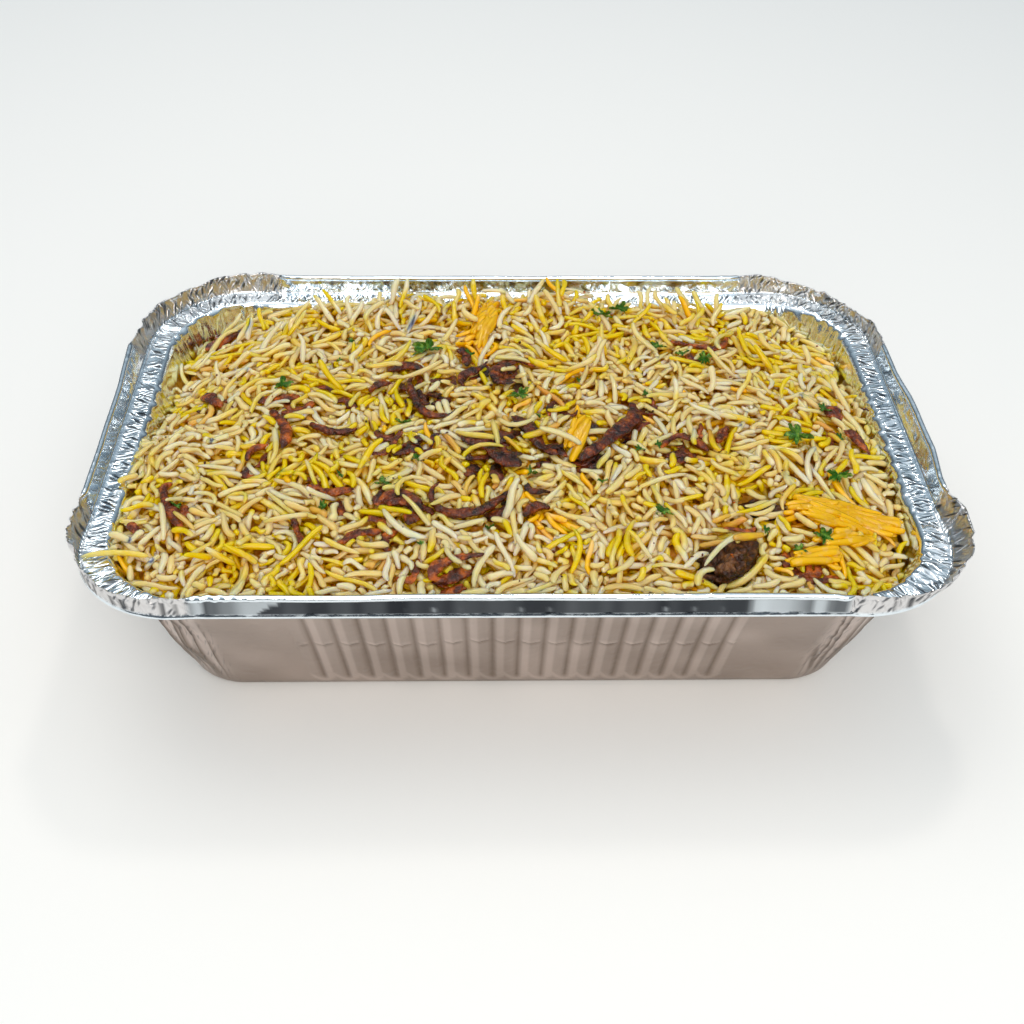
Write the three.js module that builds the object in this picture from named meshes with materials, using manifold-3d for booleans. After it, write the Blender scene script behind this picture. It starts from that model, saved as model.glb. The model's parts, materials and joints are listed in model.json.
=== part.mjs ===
// Foil tray meal: a pressed aluminium takeaway tray heaped with long grain rice, fried onion strips,
// pieces of herb leaf and braised meat. Millimetres, +Z up, origin in the middle of the tray's underside.

import * as THREE from "three";
import { mergeVertices } from "three/addons/utils/BufferGeometryUtils.js";
import Module from "manifold-3d";

// ---------------------------------------------------------------- driving dimensions

const OPENING = { length: 190, width: 118.2, radius: 22.5 };   // inner edge of the ledge
const BASE = { length: 165.4, width: 93.4, radius: 14.5 };     // outside of the wall, at the table
const LEDGE_Z = 44.5;
const FOIL = 0.6;
const BASE_EDGE_ROUND = 1.6;
const FLUTE_START_Z = 5;

const LEDGE_WIDTH = 5.45;
const RIM_Z = 50.2;
const HEM_HEIGHT = 1.3;
const HEM_BULGE = 0.55;
const FLANGE_FOOT_RISE = 0.9;

const FLUTES_LONG = 17;
const FLUTES_SHORT = 7;
const FLUTE_PITCH = 6.3;
const CORNER_PLEATS = 5;
const STATIONS_PER_FLUTE = 2;
const FLUTE_DEPTH = 0.45;
const CORNER_WALL_PLEAT = 0.2;
const CORNER_FLANGE_PLEAT = 0.55;
const CORNER_EDGE_DROP = { backRight: 2.0, backLeft: 0.3, frontLeft: 0.8, frontRight: 1.2 };
const CORNER_EDGE_TEETH = 0.25;
const CORNER_SWELL = { backRight: 0.5, backLeft: 0.5, frontLeft: 1.7, frontRight: 1.7 };

// How far the flange's top leans out past its foot: direction from the middle in degrees, lean.
const LEAN = [
  [0, 2.1], [4, 1.9], [10, 0.9], [21, 0.8], [27, 0], [36, 0.1],    // right side, back right corner
  [41, 0.9], [46, 0.2], [90, -0.2], [134, -0.3],                   // back side
  [141, 0.9], [147, 0.4], [154, 1.6], [163, 2.8], [173, 1.6],      // back left corner, left side
  [196, 1.0], [202, 1.6], [207, 0], [219, -0.5], [270, -0.9],      // front left corner, front side
  [321, -0.6], [326, 0.8], [331, 1.9], [337, 3.2], [341, 2.9],     // front right corner, splayed
  [345, 1.0], [352, 2.2], [360, 2.1],
];

// Puts the middle of the leaning rim over the origin.
const RIM_SHIFT = { x: -0.33, y: -0.52 };

const CLEARANCE = 0.35;
const HEAP_EDGE_DROP = 1.3;
const HEAP_CROWN = 6.2;
const HEAP_REACH = { x: 97, y: 62 };
const CORE_CELL = 9;
const CORE_BUMP = 0.7;

const GRAIN_COUNT = 142;
const TRIES_PER_GRAIN = 60;
const GRAIN = { length: 13.5, width: 2.4, thickness: 2.1, bend: 1.5 };
const GRAIN_LENGTHS = [0.78, 1.18];
const GRAIN_SPACING = 7.6;
const GRAIN_LIFT = 0.6;
const GRAIN_TILT = 0.12;
const GRAIN_MAX_PITCH = 0.32;
const GRAIN_FLOW = { wideX: 17, wideY: 13, slant: 29, turn: 1.7, scatter: 0.8 };
const LEDGE_OVERHANG = 1.5;

const LEAF = { thickness: 0.45, points: 15, wave: 0.06 };
const LEAF_OUTLINE = { body: 0.3, tip: 0.2, lobe: 0.09, lobes: 5, narrow: 0.8 };
const LEAF_REACH = 0.55;

// Hollows and mounds of the heap: centre, height and spread along X and Y.
const HEAP_RELIEF = [
  { at: [-88, 50], rise: -9, spread: [15, 13] },     // back left corner, wall bare
  { at: [-89, 20], rise: -9, spread: [9, 12] },      // gap by the left wall
  { at: [90, 46], rise: -8.5, spread: [15, 16] },    // back right corner, wall bare
  { at: [94, 23], rise: -6, spread: [9, 14] },       // right wall
  { at: [92, -44], rise: -8, spread: [12, 11] },     // front right corner, wall bare
  { at: [96, -12], rise: -3, spread: [10, 20] },     // right side, just below the ledge
  { at: [0, 56], rise: 3, spread: [42, 14] },        // back edge heaped over the ledge
];

// Fried onion strips: the route of the middle line and the strip's width.
const ONIONS = [
  { name: "onion_left_flat", route: [[-67, 8], [-62, 10], [-56, 8]], width: 3.4 },
  { name: "onion_left_curl", route: [[-63, 4], [-59, -1], [-57, -7], [-58, -13]], width: 2.7 },
  { name: "onion_left_tick", route: [[-66, -16], [-65, -12], [-61, -10]], width: 1.7 },
  { name: "onion_left_arc", route: [[-52, -3], [-45, -6], [-39, -5]], width: 1.9 },
  { name: "onion_far_left_hook", route: [[-82, -22], [-85.5, -22.5], [-82, -31], [-76, -41]], width: 2.5 },
  { name: "onion_far_left_low", route: [[-91, -36], [-86, -39.5]], width: 2.8 },
  { name: "onion_left_low", route: [[-51, -25], [-45, -28], [-38, -27]], width: 2.2 },
  { name: "onion_front_thread", route: [[-53, -34], [-51, -40], [-49, -45]], width: 1.5 },
  { name: "onion_front_left", route: [[-42, -45], [-37, -41], [-31, -41]], width: 2.9 },
  { name: "onion_back_left", route: [[-34, 18.5], [-29, 21.5], [-22.5, 19]], width: 3.2 },
  { name: "onion_back_left_low", route: [[-38, 10], [-35, 13.5], [-31, 13.5]], width: 2.6 },
  {
    name: "onion_middle_hook", width: 2.3,
    route: [[-25, 17], [-28, 15], [-26, 7], [-23.5, 0], [-19, -2], [-14, 1], [-10, 2.5]],
  },
  { name: "onion_back_middle", route: [[-16, 28.5], [-13, 27], [-12.5, 20.5]], width: 2.4 },
  { name: "onion_middle_loop", route: [[-6.5, 24], [-9, 19.5], [-14, 15], [-13, 10]], width: 2.8 },
  { name: "onion_clump_back", route: [[2, 12], [-4, 13], [-4, 20], [2, 24], [7, 20]], width: 4.4 },
  { name: "onion_clump_middle", route: [[-15, -10], [-8, -12], [-4, -17], [2, -21]], width: 6.2 },
  { name: "onion_middle_broad", route: [[-2, -1], [3, -6], [6, -13], [11, -17]], width: 4.2 },
  {
    name: "onion_clump_right", width: 4.6,
    route: [[29, 6], [31, 0], [26, -7], [21, -13], [14, -19]],
  },
  { name: "onion_clump_front", route: [[-34, -31], [-28, -30], [-24, -33], [-26, -40]], width: 5.4 },
  {
    name: "onion_front_ring", width: 2.7,
    route: [[-17, -24], [-21, -28], [-19, -34], [-12, -36], [-5, -32], [0, -26]],
  },
  { name: "onion_front_sliver", route: [[1, -37], [4, -34], [8, -34]], width: 2.1 },
  {
    name: "onion_front_edge", width: 2.9,
    route: [[-7, -48], [-13, -49], [-18.5, -51], [-20, -54.5], [-15, -55]],
  },
  { name: "onion_back_right_long", route: [[42, 36], [49, 33], [57, 32], [60, 39]], width: 1.8 },
  { name: "onion_right_arc", route: [[35, -14], [39, -9], [43, -8], [48, -14]], width: 2.5 },
  { name: "onion_right_tick", route: [[50, -10], [53.5, -4]], width: 2.3 },
  { name: "onion_right_bit", route: [[82, 9], [85, 3]], width: 4.2 },
  { name: "onion_right_wall", route: [[84, 0], [87, -3], [90, -9]], width: 3.2 },
  { name: "onion_corner_back_left", route: [[-87, 42], [-83, 48], [-76, 51]], width: 3.6 },
  { name: "onion_left_wall", route: [[-84, 20], [-80, 13], [-75, 6]], width: 3.2 },
];
const ONION_THICKNESS = 1.5;
const ONION_SIDES = 5;
const ONION_RINGS = 8;
const ONION_TAPER = 0.62;
const ONION_TWIST = 0.5;
const ONION_WAVE = { depth: 0.18, rate: 9 };

// Herb leaves: middle of the leaf, its length, and the heading of its tip in degrees.
const LEAVES = [
  { name: "herb_back_middle", at: [-24.5, 27.5], size: 12, heading: 10 },
  { name: "herb_left", at: [-61.5, 14.5], size: 7.5, heading: 30 },
  { name: "herb_middle", at: [0.5, 6], size: 7.5, heading: 20 },
  { name: "herb_right", at: [70.5, -6], size: 12, heading: 300 },
  { name: "herb_far_right", at: [77.5, -20.5], size: 9, heading: 5 },
  { name: "herb_front_right", at: [71, -42], size: 8.5, heading: 75 },
  { name: "herb_back_right", at: [51.5, 25.5], size: 8, heading: 55 },
  { name: "herb_back", at: [30, 52], size: 8, heading: 340 },
];

// Braised meat pieces, sunk into the rice: middle, half sizes, turn in degrees, share that shows.
const MEATS = [
  { name: "meat_front", at: [48, -47], half: [8.5, 7.5, 5], turn: 25, shown: 0.25 },
  { name: "meat_right", at: [59, -29], half: [6.5, 4, 4], turn: -12, shown: 0.2 },
];
const MEAT_RIDGES = { depth: 0.1, rate: 5 };

const COLOURS = {
  foil: 0xc9ccd0, rice: 0xe6d79a, onion: 0x6b2f16, herb: 0x2f6b33, meat: 0x6d4526,
};

// ---------------------------------------------------------------- solids

const wasm = await Module();
wasm.setup();

// A geometry with shared vertices and no flat triangles, as a closed solid.
function solidFrom(geometry) {
  const bare = geometry.clone();
  bare.deleteAttribute("normal");
  bare.deleteAttribute("uv");
  const merged = mergeVertices(bare, 1e-4);
  const index = merged.index.array;
  const triangles = [];
  for (let i = 0; i < index.length; i += 3) {
    const [a, b, c] = [index[i], index[i + 1], index[i + 2]];
    if (a !== b && b !== c && c !== a) {
      triangles.push(a, b, c);
    }
  }
  return new wasm.Manifold(new wasm.Mesh({
    numProp: 3,
    vertProperties: new Float32Array(merged.attributes.position.array),
    triVerts: new Uint32Array(triangles),
  }));
}

function meshFrom(solid, name, colour, roughness, metalness) {
  const { vertProperties, triVerts } = solid.getMesh();
  const geometry = new THREE.BufferGeometry();
  geometry.setAttribute("position", new THREE.BufferAttribute(new Float32Array(vertProperties), 3));
  geometry.setIndex(new THREE.BufferAttribute(new Uint32Array(triVerts), 1));
  const material = new THREE.MeshStandardMaterial({ color: colour, roughness, metalness });
  const mesh = new THREE.Mesh(geometry, material);
  mesh.name = name;
  return mesh;
}

// The one body that is kept of a joined solid, without loose scraps.
function largestBody(solid) {
  return solid.decompose().reduce((kept, body) => (body.volume() > kept.volume() ? body : kept));
}

function seededRandom(seed) {
  let state = seed;
  return () => {
    state = (state * 1664525 + 1013904223) % 4294967296;
    return state / 4294967296;
  };
}

// ---------------------------------------------------------------- rounded rectangle outlines

// The stations run once round the tray, anticlockwise from the front of the right side.
// Each knows its outward heading and its share of the way along its side or corner. The flutes
// stand in the middle of a side, and a plain stretch runs from them to each corner.
function makeStations() {
  const stations = [];
  const addSide = (heading, flutes, straight) => {
    const count = flutes * STATIONS_PER_FLUTE;
    stations.push({ heading, along: -0.5, corner: false, crest: 0 });
    for (let k = 0; k <= count; k++) {
      const along = ((k / count - 0.5) * flutes * FLUTE_PITCH) / straight;
      stations.push({ heading, along, corner: false, crest: k % 2 ? 1 : -1 });
    }
  };
  const addCorner = (from) => {
    const count = CORNER_PLEATS * STATIONS_PER_FLUTE;
    for (let k = 0; k < count; k++) {
      const heading = from + (k / count) * 90;
      stations.push({ heading, along: 0.5, corner: k > 0, crest: k === 0 ? 0 : (k % 2) * 2 - 1 });
    }
  };
  for (const heading of [0, 90, 180, 270]) {
    const onLongSide = heading % 180 !== 0;
    const straight = (onLongSide ? OPENING.length : OPENING.width) - 2 * OPENING.radius;
    addSide(heading, onLongSide ? FLUTES_LONG : FLUTES_SHORT, straight);
    addCorner(heading);
  }
  return stations;
}

// The point of a station on a rounded rectangle, moved outward.
function outlinePoint(station, { length, width, radius }, outward) {
  const side = Math.floor(station.heading / 90) % 4;
  const turn = THREE.MathUtils.degToRad(station.heading);
  const acrossX = length / 2 - radius;
  const acrossY = width / 2 - radius;
  const corner = [[acrossX, acrossY], [-acrossX, acrossY], [-acrossX, -acrossY], [acrossX, -acrossY]][side];
  const reach = radius + outward;
  let [x, y] = corner;
  if (!station.corner) {
    const run = (side % 2 ? acrossX : acrossY) * 2;
    const back = (0.5 - station.along) * run;
    x += [0, 1, 0, -1][side] * back;
    y += [-1, 0, 1, 0][side] * back;
  }
  return [x + reach * Math.cos(turn), y + reach * Math.sin(turn)];
}

// The rounded rectangle of the wall at a height.
function wallOutline(z) {
  const share = THREE.MathUtils.clamp(z / LEDGE_Z, 0, 1);
  return {
    length: THREE.MathUtils.lerp(BASE.length, OPENING.length, share),
    width: THREE.MathUtils.lerp(BASE.width, OPENING.width, share),
    radius: THREE.MathUtils.lerp(BASE.radius, OPENING.radius, share),
  };
}

// How far a point lies outside a rounded rectangle, less than nothing when inside.
function outsideBy(x, y, { length, width, radius }) {
  const dx = Math.abs(x) - (length / 2 - radius);
  const dy = Math.abs(y) - (width / 2 - radius);
  return Math.hypot(Math.max(dx, 0), Math.max(dy, 0)) + Math.min(Math.max(dx, dy), 0) - radius;
}

// A closed shell turned round the stations: each level gives a point for a station.
function loftedSolid(stations, levels) {
  const seed = levels.map((level, k) => new THREE.Vector2(level.pole ? 0 : 1, k));
  const geometry = new THREE.LatheGeometry(seed, stations.length);
  const position = geometry.attributes.position;
  for (let i = 0; i < position.count; i++) {
    const station = stations[Math.floor(i / levels.length) % stations.length];
    const level = levels[i % levels.length];
    const [x, y, z] = level.pole ? [0, 0, level.pole.z] : level.place(station);
    position.setXYZ(i, x, y, z);
  }
  return solidFrom(geometry);
}

// ---------------------------------------------------------------- the foil tray

// The flange's lean at a station, between the directions that are listed.
function leanAt(station) {
  const [x, y] = outlinePoint(station, OPENING, LEDGE_WIDTH);
  const direction = THREE.MathUtils.euclideanModulo(THREE.MathUtils.radToDeg(Math.atan2(y, x)), 360);
  const next = LEAN.findIndex(([listed]) => listed > direction);
  const [[from, before], [to, after]] = [LEAN[next - 1], LEAN[next]];
  return THREE.MathUtils.mapLinear(direction, from, to, before, after);
}

// A corner's own amount, full in its middle and nothing on the straight sides.
function cornerShare(station, amounts) {
  if (!station.corner) {
    return 0;
  }
  const quarter = ["backRight", "backLeft", "frontLeft", "frontRight"][Math.floor(station.heading / 90) % 4];
  return amounts[quarter] * Math.sin(THREE.MathUtils.degToRad((station.heading % 90) * 2));
}

function edgeDropAt(station) {
  return cornerShare(station, CORNER_EDGE_DROP) * (1 + station.crest * CORNER_EDGE_TEETH);
}

function ledgeWidthAt(station) {
  return LEDGE_WIDTH + cornerShare(station, CORNER_SWELL);
}

function makeTray(stations) {
  const plain = (z, outline, outward) => ({
    place: (station) => [...outlinePoint(station, outline, outward), z],
  });
  const fluted = (z, outline, outward, share = 1) => ({
    place: (station) => {
      const depth = (station.corner ? CORNER_WALL_PLEAT : FLUTE_DEPTH) * share;
      return [...outlinePoint(station, outline, outward + station.crest * depth), z];
    },
  });
  const ledgeEdge = (z, inward) => ({
    place: (station) => [...outlinePoint(station, OPENING, ledgeWidthAt(station) - inward), z],
  });
  // The flange: a share of its height, and how far off its middle line.
  const flange = (share, across, hem) => ({
    place: (station) => {
      const pleat = station.corner ? station.crest * CORNER_FLANGE_PLEAT * share : 0;
      const bulge = station.corner ? 0 : hem;
      const foot = ledgeWidthAt(station) - FOIL / 2;
      const outward = foot + leanAt(station) * share + pleat + across + bulge;
      const top = RIM_Z - edgeDropAt(station);
      const z = THREE.MathUtils.lerp(LEDGE_Z + FLANGE_FOOT_RISE, top, share);
      return [...outlinePoint(station, OPENING, outward), z];
    },
  });
  const hemShare = 1 - HEM_HEIGHT / (RIM_Z - LEDGE_Z - FLANGE_FOOT_RISE);
  return loftedSolid(stations, [
    { pole: { z: 0 } },
    plain(0, BASE, -BASE_EDGE_ROUND),
    plain(BASE_EDGE_ROUND, wallOutline(BASE_EDGE_ROUND), 0),
    fluted(FLUTE_START_Z, wallOutline(FLUTE_START_Z), FLUTE_DEPTH / 2),
    fluted(LEDGE_Z - FOIL, OPENING, FLUTE_DEPTH / 2, 0.5),
    ledgeEdge(LEDGE_Z - FOIL, 0),
    flange(hemShare, FOIL / 2, 0),
    flange((1 + hemShare) / 2, FOIL / 2, HEM_BULGE),
    flange(1, 0, HEM_BULGE / 2),
    flange(hemShare, -FOIL / 2, 0),
    flange(0, -FOIL / 2, 0),
    ledgeEdge(LEDGE_Z, FOIL + FLANGE_FOOT_RISE),
    fluted(LEDGE_Z, OPENING, 0, 0.5),
    fluted(FLUTE_START_Z, wallOutline(FLUTE_START_Z), FLUTE_DEPTH / 2 - FOIL),
    plain(FOIL, BASE, -BASE_EDGE_ROUND - FOIL),
    { pole: { z: FOIL } },
  ]);
}

// ---------------------------------------------------------------- the heap of rice

function heapHeight(x, y) {
  const crownX = Math.max(0, 1 - (x / HEAP_REACH.x) ** 2);
  const crownY = Math.max(0, 1 - (y / HEAP_REACH.y) ** 2);
  let z = LEDGE_Z - HEAP_EDGE_DROP + HEAP_CROWN * crownX * crownY;
  for (const { at, rise, spread } of HEAP_RELIEF) {
    z += rise * Math.exp(-(((x - at[0]) / spread[0]) ** 2) - ((y - at[1]) / spread[1]) ** 2);
  }
  return z;
}

// The space inside the tray, clear of its fluted wall, carried up over the ledge.
function makeTraySpace(stations) {
  const inset = -FOIL - FLUTE_DEPTH / 2 - CLEARANCE;
  const ring = (z, outline) => ({
    place: (station) => [...outlinePoint(station, outline, inset), z],
  });
  const floorZ = FOIL + CLEARANCE;
  const topZ = RIM_Z + HEAP_CROWN;
  const isKept = ({ corner, crest }, k) => crest === 0 || (corner ? crest < 0 : k % 4 === 0);
  const inner = stations.filter(isKept);
  return loftedSolid(inner, [
    { pole: { z: floorZ } },
    ring(floorZ, { ...BASE, length: BASE.length - 2, width: BASE.width - 2 }),
    ring(LEDGE_Z, OPENING),
    ring(topZ, OPENING),
    { pole: { z: topZ } },
  ]);
}

function makeCore(stations) {
  const [spanX, spanY] = [OPENING.length + CORE_CELL, OPENING.width + CORE_CELL];
  const [cellsX, cellsY] = [Math.round(spanX / CORE_CELL), Math.round(spanY / CORE_CELL)];
  const geometry = new THREE.BoxGeometry(spanX, spanY, 2, cellsX, cellsY, 1);
  const position = geometry.attributes.position;
  const random = seededRandom(7);
  const bumps = new Map();
  for (let i = 0; i < position.count; i++) {
    const [x, y] = [position.getX(i), position.getY(i)];
    if (position.getZ(i) < 0) {
      position.setZ(i, -CORE_CELL);
      continue;
    }
    const key = `${Math.round(x * 10)},${Math.round(y * 10)}`;
    if (!bumps.has(key)) {
      bumps.set(key, (random() * 2 - 1) * CORE_BUMP);
    }
    position.setZ(i, heapHeight(x, y) + bumps.get(key));
  }
  return solidFrom(geometry).intersect(makeTraySpace(stations));
}

// A probe that gives the height of the top of a solid under a point.
function heightProbe(solid) {
  const mesh = meshFrom(solid, "probe", 0, 1, 0);
  mesh.material.side = THREE.DoubleSide;
  const raycaster = new THREE.Raycaster();
  const down = new THREE.Vector3(0, 0, -1);
  return (x, y) => {
    raycaster.set(new THREE.Vector3(x, y, RIM_Z * 2), down);
    const hits = raycaster.intersectObject(mesh);
    return hits.length ? hits[0].point.z : null;
  };
}

// A closed spindle round a route: rings of a flattened section, brought to a point at both ends.
function spindle({ curve, sides, rings, halfWidth, halfThickness, endShare, twist }) {
  const geometry = new THREE.SphereGeometry(1, sides, rings);
  const position = geometry.attributes.position;
  const up = new THREE.Vector3(0, 0, 1);
  for (let i = 0; i < position.count; i++) {
    const ring = Math.round((Math.acos(THREE.MathUtils.clamp(position.getY(i), -1, 1)) / Math.PI) * rings);
    const share = ring / rings;
    const around = Math.atan2(position.getZ(i), position.getX(i));
    const atEnd = Math.min(ring, rings - ring);
    const size = [0, endShare][atEnd] ?? 1;
    const along = curve.getTangentAt(share);
    const across = new THREE.Vector3().crossVectors(up, along).normalize();
    const normal = new THREE.Vector3().crossVectors(along, across);
    const roll = twist * Math.sin(share * Math.PI * 2);
    const wide = Math.cos(around) * halfWidth(share) * size;
    const tall = Math.sin(around) * halfThickness * size;
    const point = curve.getPointAt(share)
      .addScaledVector(across, wide * Math.cos(roll) - tall * Math.sin(roll))
      .addScaledVector(normal, wide * Math.sin(roll) + tall * Math.cos(roll));
    position.setXYZ(i, point.x, point.y, point.z);
  }
  return solidFrom(geometry);
}

// ---------------------------------------------------------------- onions, leaves and meat

// Lays a route on the rice, clear of it across the whole width.
function layRoute(route, width, thickness, probe) {
  const flat = new THREE.CatmullRomCurve3(route.map(([x, y]) => new THREE.Vector3(x, y, 0)));
  const points = flat.getSpacedPoints(ONION_RINGS).map((point, k) => {
    const along = flat.getTangentAt(k / ONION_RINGS);
    const heights = [-1, -0.5, 0, 0.5, 1].flatMap((side) => [-1, 0, 1].map((ahead) => probe(
      point.x - along.y * side * (width / 2) + along.x * ahead,
      point.y + along.x * side * (width / 2) + along.y * ahead,
    ) ?? 0));
    const z = Math.max(...heights) + CLEARANCE + thickness / 2;
    return new THREE.Vector3(point.x, point.y, z);
  });
  return new THREE.CatmullRomCurve3(points);
}

function makeOnion({ route, width }, probe) {
  const curve = layRoute(route, width, ONION_THICKNESS, probe);
  return spindle({
    curve,
    sides: ONION_SIDES,
    rings: ONION_RINGS,
    halfWidth: (share) => (width / 2) * (1 + ONION_WAVE.depth * Math.sin(share * ONION_WAVE.rate + width)),
    halfThickness: ONION_THICKNESS / 2,
    endShare: ONION_TAPER,
    twist: ONION_TWIST / width,
  });
}

// A lobed leaf, cut from a thin sheet and bent into waves.
function makeLeaf({ at, size, heading }, probe) {
  const shape = new THREE.Shape();
  const turn = THREE.MathUtils.degToRad(heading);
  const { body, tip, lobe, lobes, narrow } = LEAF_OUTLINE;
  for (let k = 0; k < LEAF.points; k++) {
    const angle = (k / LEAF.points) * Math.PI * 2;
    const reach = body + tip * Math.max(0, Math.cos(angle)) + lobe * Math.cos(angle * lobes);
    const [u, v] = [size * reach * Math.cos(angle), size * reach * narrow * Math.sin(angle)];
    shape[k ? "lineTo" : "moveTo"](u, v);
  }
  shape.closePath();
  const geometry = new THREE.ExtrudeGeometry(shape, { depth: LEAF.thickness, bevelEnabled: false });
  const position = geometry.attributes.position;
  let rest = 0;
  for (let i = 0; i < position.count; i++) {
    const [u, v] = [position.getX(i), position.getY(i)];
    const x = at[0] + u * Math.cos(turn) - v * Math.sin(turn);
    const y = at[1] + u * Math.sin(turn) + v * Math.cos(turn);
    rest = Math.max(rest, probe(x, y) ?? 0);
    const wave = size * LEAF.wave * (Math.sin((u / size) * 8) + Math.cos((v / size) * 9));
    position.setXYZ(i, x, y, position.getZ(i) + wave);
  }
  geometry.translate(0, 0, rest + CLEARANCE + size * LEAF.wave * 2);
  return solidFrom(geometry);
}

// A rough lump; grow makes the pocket that it sits in.
function makeMeat({ at, half, turn, shown }, grow) {
  const geometry = new THREE.IcosahedronGeometry(1, 1);
  const position = geometry.attributes.position;
  const spin = THREE.MathUtils.degToRad(turn);
  const sink = heapHeight(at[0], at[1]) - half[2] * (1 - 2 * shown);
  for (let i = 0; i < position.count; i++) {
    const [u, v, w] = [position.getX(i), position.getY(i), position.getZ(i)];
    const ridges = Math.sin(u * MEAT_RIDGES.rate + at[0]) + Math.cos((v + w) * MEAT_RIDGES.rate);
    const rough = 1 + MEAT_RIDGES.depth * ridges;
    const [a, b, c] = [u * (half[0] * rough + grow), v * (half[1] * rough + grow), w * (half[2] + grow)];
    position.setXYZ(
      i,
      at[0] + a * Math.cos(spin) - b * Math.sin(spin),
      at[1] + a * Math.sin(spin) + b * Math.cos(spin),
      sink + c,
    );
  }
  return solidFrom(geometry);
}

// ---------------------------------------------------------------- loose grains on the heap

function grainRoute(x, y, z, heading, pitch, length, bend) {
  const along = new THREE.Vector3(
    Math.cos(heading) * Math.cos(pitch), Math.sin(heading) * Math.cos(pitch), Math.sin(pitch),
  );
  const aside = new THREE.Vector3(-Math.sin(heading), Math.cos(heading), 0);
  return new THREE.CatmullRomCurve3([-0.5, 0, 0.5].map((share) => new THREE.Vector3(x, y, z)
    .addScaledVector(along, share * length)
    .addScaledVector(aside, bend * (1 - 4 * share * share))));
}

// True where a grain's middle line keeps off the foil, the onions, the leaves and the meat.
function isClear(curve, obstacles) {
  const reach = GRAIN.width / 2 + CLEARANCE;
  return curve.getSpacedPoints(8).every((point) => {
    const overLedge = point.z - GRAIN.thickness > LEDGE_Z + CLEARANCE;
    const outline = overLedge ? OPENING : wallOutline(point.z - 1);
    const room = overLedge ? LEDGE_OVERHANG : -FOIL - FLUTE_DEPTH - reach;
    if (outsideBy(point.x, point.y, outline) > room) {
      return false;
    }
    return obstacles.every(({ x, y, radius }) => Math.hypot(point.x - x, point.y - y) > radius + reach);
  });
}

function makeGrains(probe, obstacles) {
  const random = seededRandom(31);
  const grains = [];
  const middles = [];
  const { wideX, wideY, slant, turn, scatter } = GRAIN_FLOW;
  for (let tries = 0; tries < GRAIN_COUNT * TRIES_PER_GRAIN && grains.length < GRAIN_COUNT; tries++) {
    const x = (random() - 0.5) * OPENING.length;
    const y = (random() - 0.5) * OPENING.width;
    const drift = Math.sin(x / wideX) + Math.cos(y / wideY + x / slant);
    const heading = drift * turn + (random() * 2 - 1) * scatter;
    const length = GRAIN.length * THREE.MathUtils.lerp(...GRAIN_LENGTHS, random());
    const bend = GRAIN.bend * (random() * 2 - 1);
    const roll = random() * 2 - 1;
    const ground = probe(x, y);
    if (ground === null || middles.some(([u, v]) => Math.hypot(u - x, v - y) < GRAIN_SPACING)) {
      continue;
    }
    const step = [Math.cos(heading) * length * 0.3, Math.sin(heading) * length * 0.3];
    const ahead = probe(x + step[0], y + step[1]) ?? ground;
    const behind = probe(x - step[0], y - step[1]) ?? ground;
    const slope = Math.atan2(ahead - behind, length * 0.6);
    const pitch = THREE.MathUtils.clamp(slope + roll * GRAIN_TILT, -GRAIN_MAX_PITCH, GRAIN_MAX_PITCH);
    const z = (ground + ahead + behind) / 3 + GRAIN_LIFT;
    const curve = grainRoute(x, y, z, heading, pitch, length, bend);
    if (!isClear(curve, obstacles)) {
      continue;
    }
    middles.push([x, y]);
    grains.push(spindle({
      curve,
      sides: 4,
      rings: 3,
      halfWidth: () => GRAIN.width / 2,
      halfThickness: GRAIN.thickness / 2,
      endShare: 0.9,
      twist: 0,
    }));
  }
  return grains;
}

// Circles that cover a topping, seen from above.
function circlesAlong(route, radius) {
  const curve = new THREE.CatmullRomCurve3(route.map(([x, y]) => new THREE.Vector3(x, y, 0)));
  return curve.getSpacedPoints(12).map(({ x, y }) => ({ x, y, radius }));
}

// ---------------------------------------------------------------- the meal

const stations = makeStations();
const bareCore = makeCore(stations);
const core = MEATS.reduce((solid, meat) => solid.subtract(makeMeat(meat, CLEARANCE)), bareCore);
const probe = heightProbe(bareCore);
const obstacles = [
  ...ONIONS.flatMap(({ route, width }) => circlesAlong(route, width / 2 + CLEARANCE)),
  ...LEAVES.map(({ at, size }) => ({ x: at[0], y: at[1], radius: size * LEAF_REACH })),
  ...MEATS.map(({ at, half }) => ({ x: at[0], y: at[1], radius: Math.max(half[0], half[1]) + CLEARANCE })),
];
const rice = largestBody(wasm.Manifold.union([core, ...makeGrains(probe, obstacles)]));

const meal = new THREE.Group();
meal.add(meshFrom(makeTray(stations), "tray", COLOURS.foil, 0.3, 1));
meal.add(meshFrom(rice, "rice_heap", COLOURS.rice, 0.55, 0));
for (const onion of ONIONS) {
  meal.add(meshFrom(makeOnion(onion, probe), onion.name, COLOURS.onion, 0.4, 0));
}
for (const leaf of LEAVES) {
  meal.add(meshFrom(makeLeaf(leaf, probe), leaf.name, COLOURS.herb, 0.6, 0));
}
for (const meat of MEATS) {
  meal.add(meshFrom(makeMeat(meat, 0), meat.name, COLOURS.meat, 0.45, 0));
}
for (const mesh of meal.children) {
  mesh.geometry.translate(RIM_SHIFT.x, RIM_SHIFT.y, 0);
}

export default meal;
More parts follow.
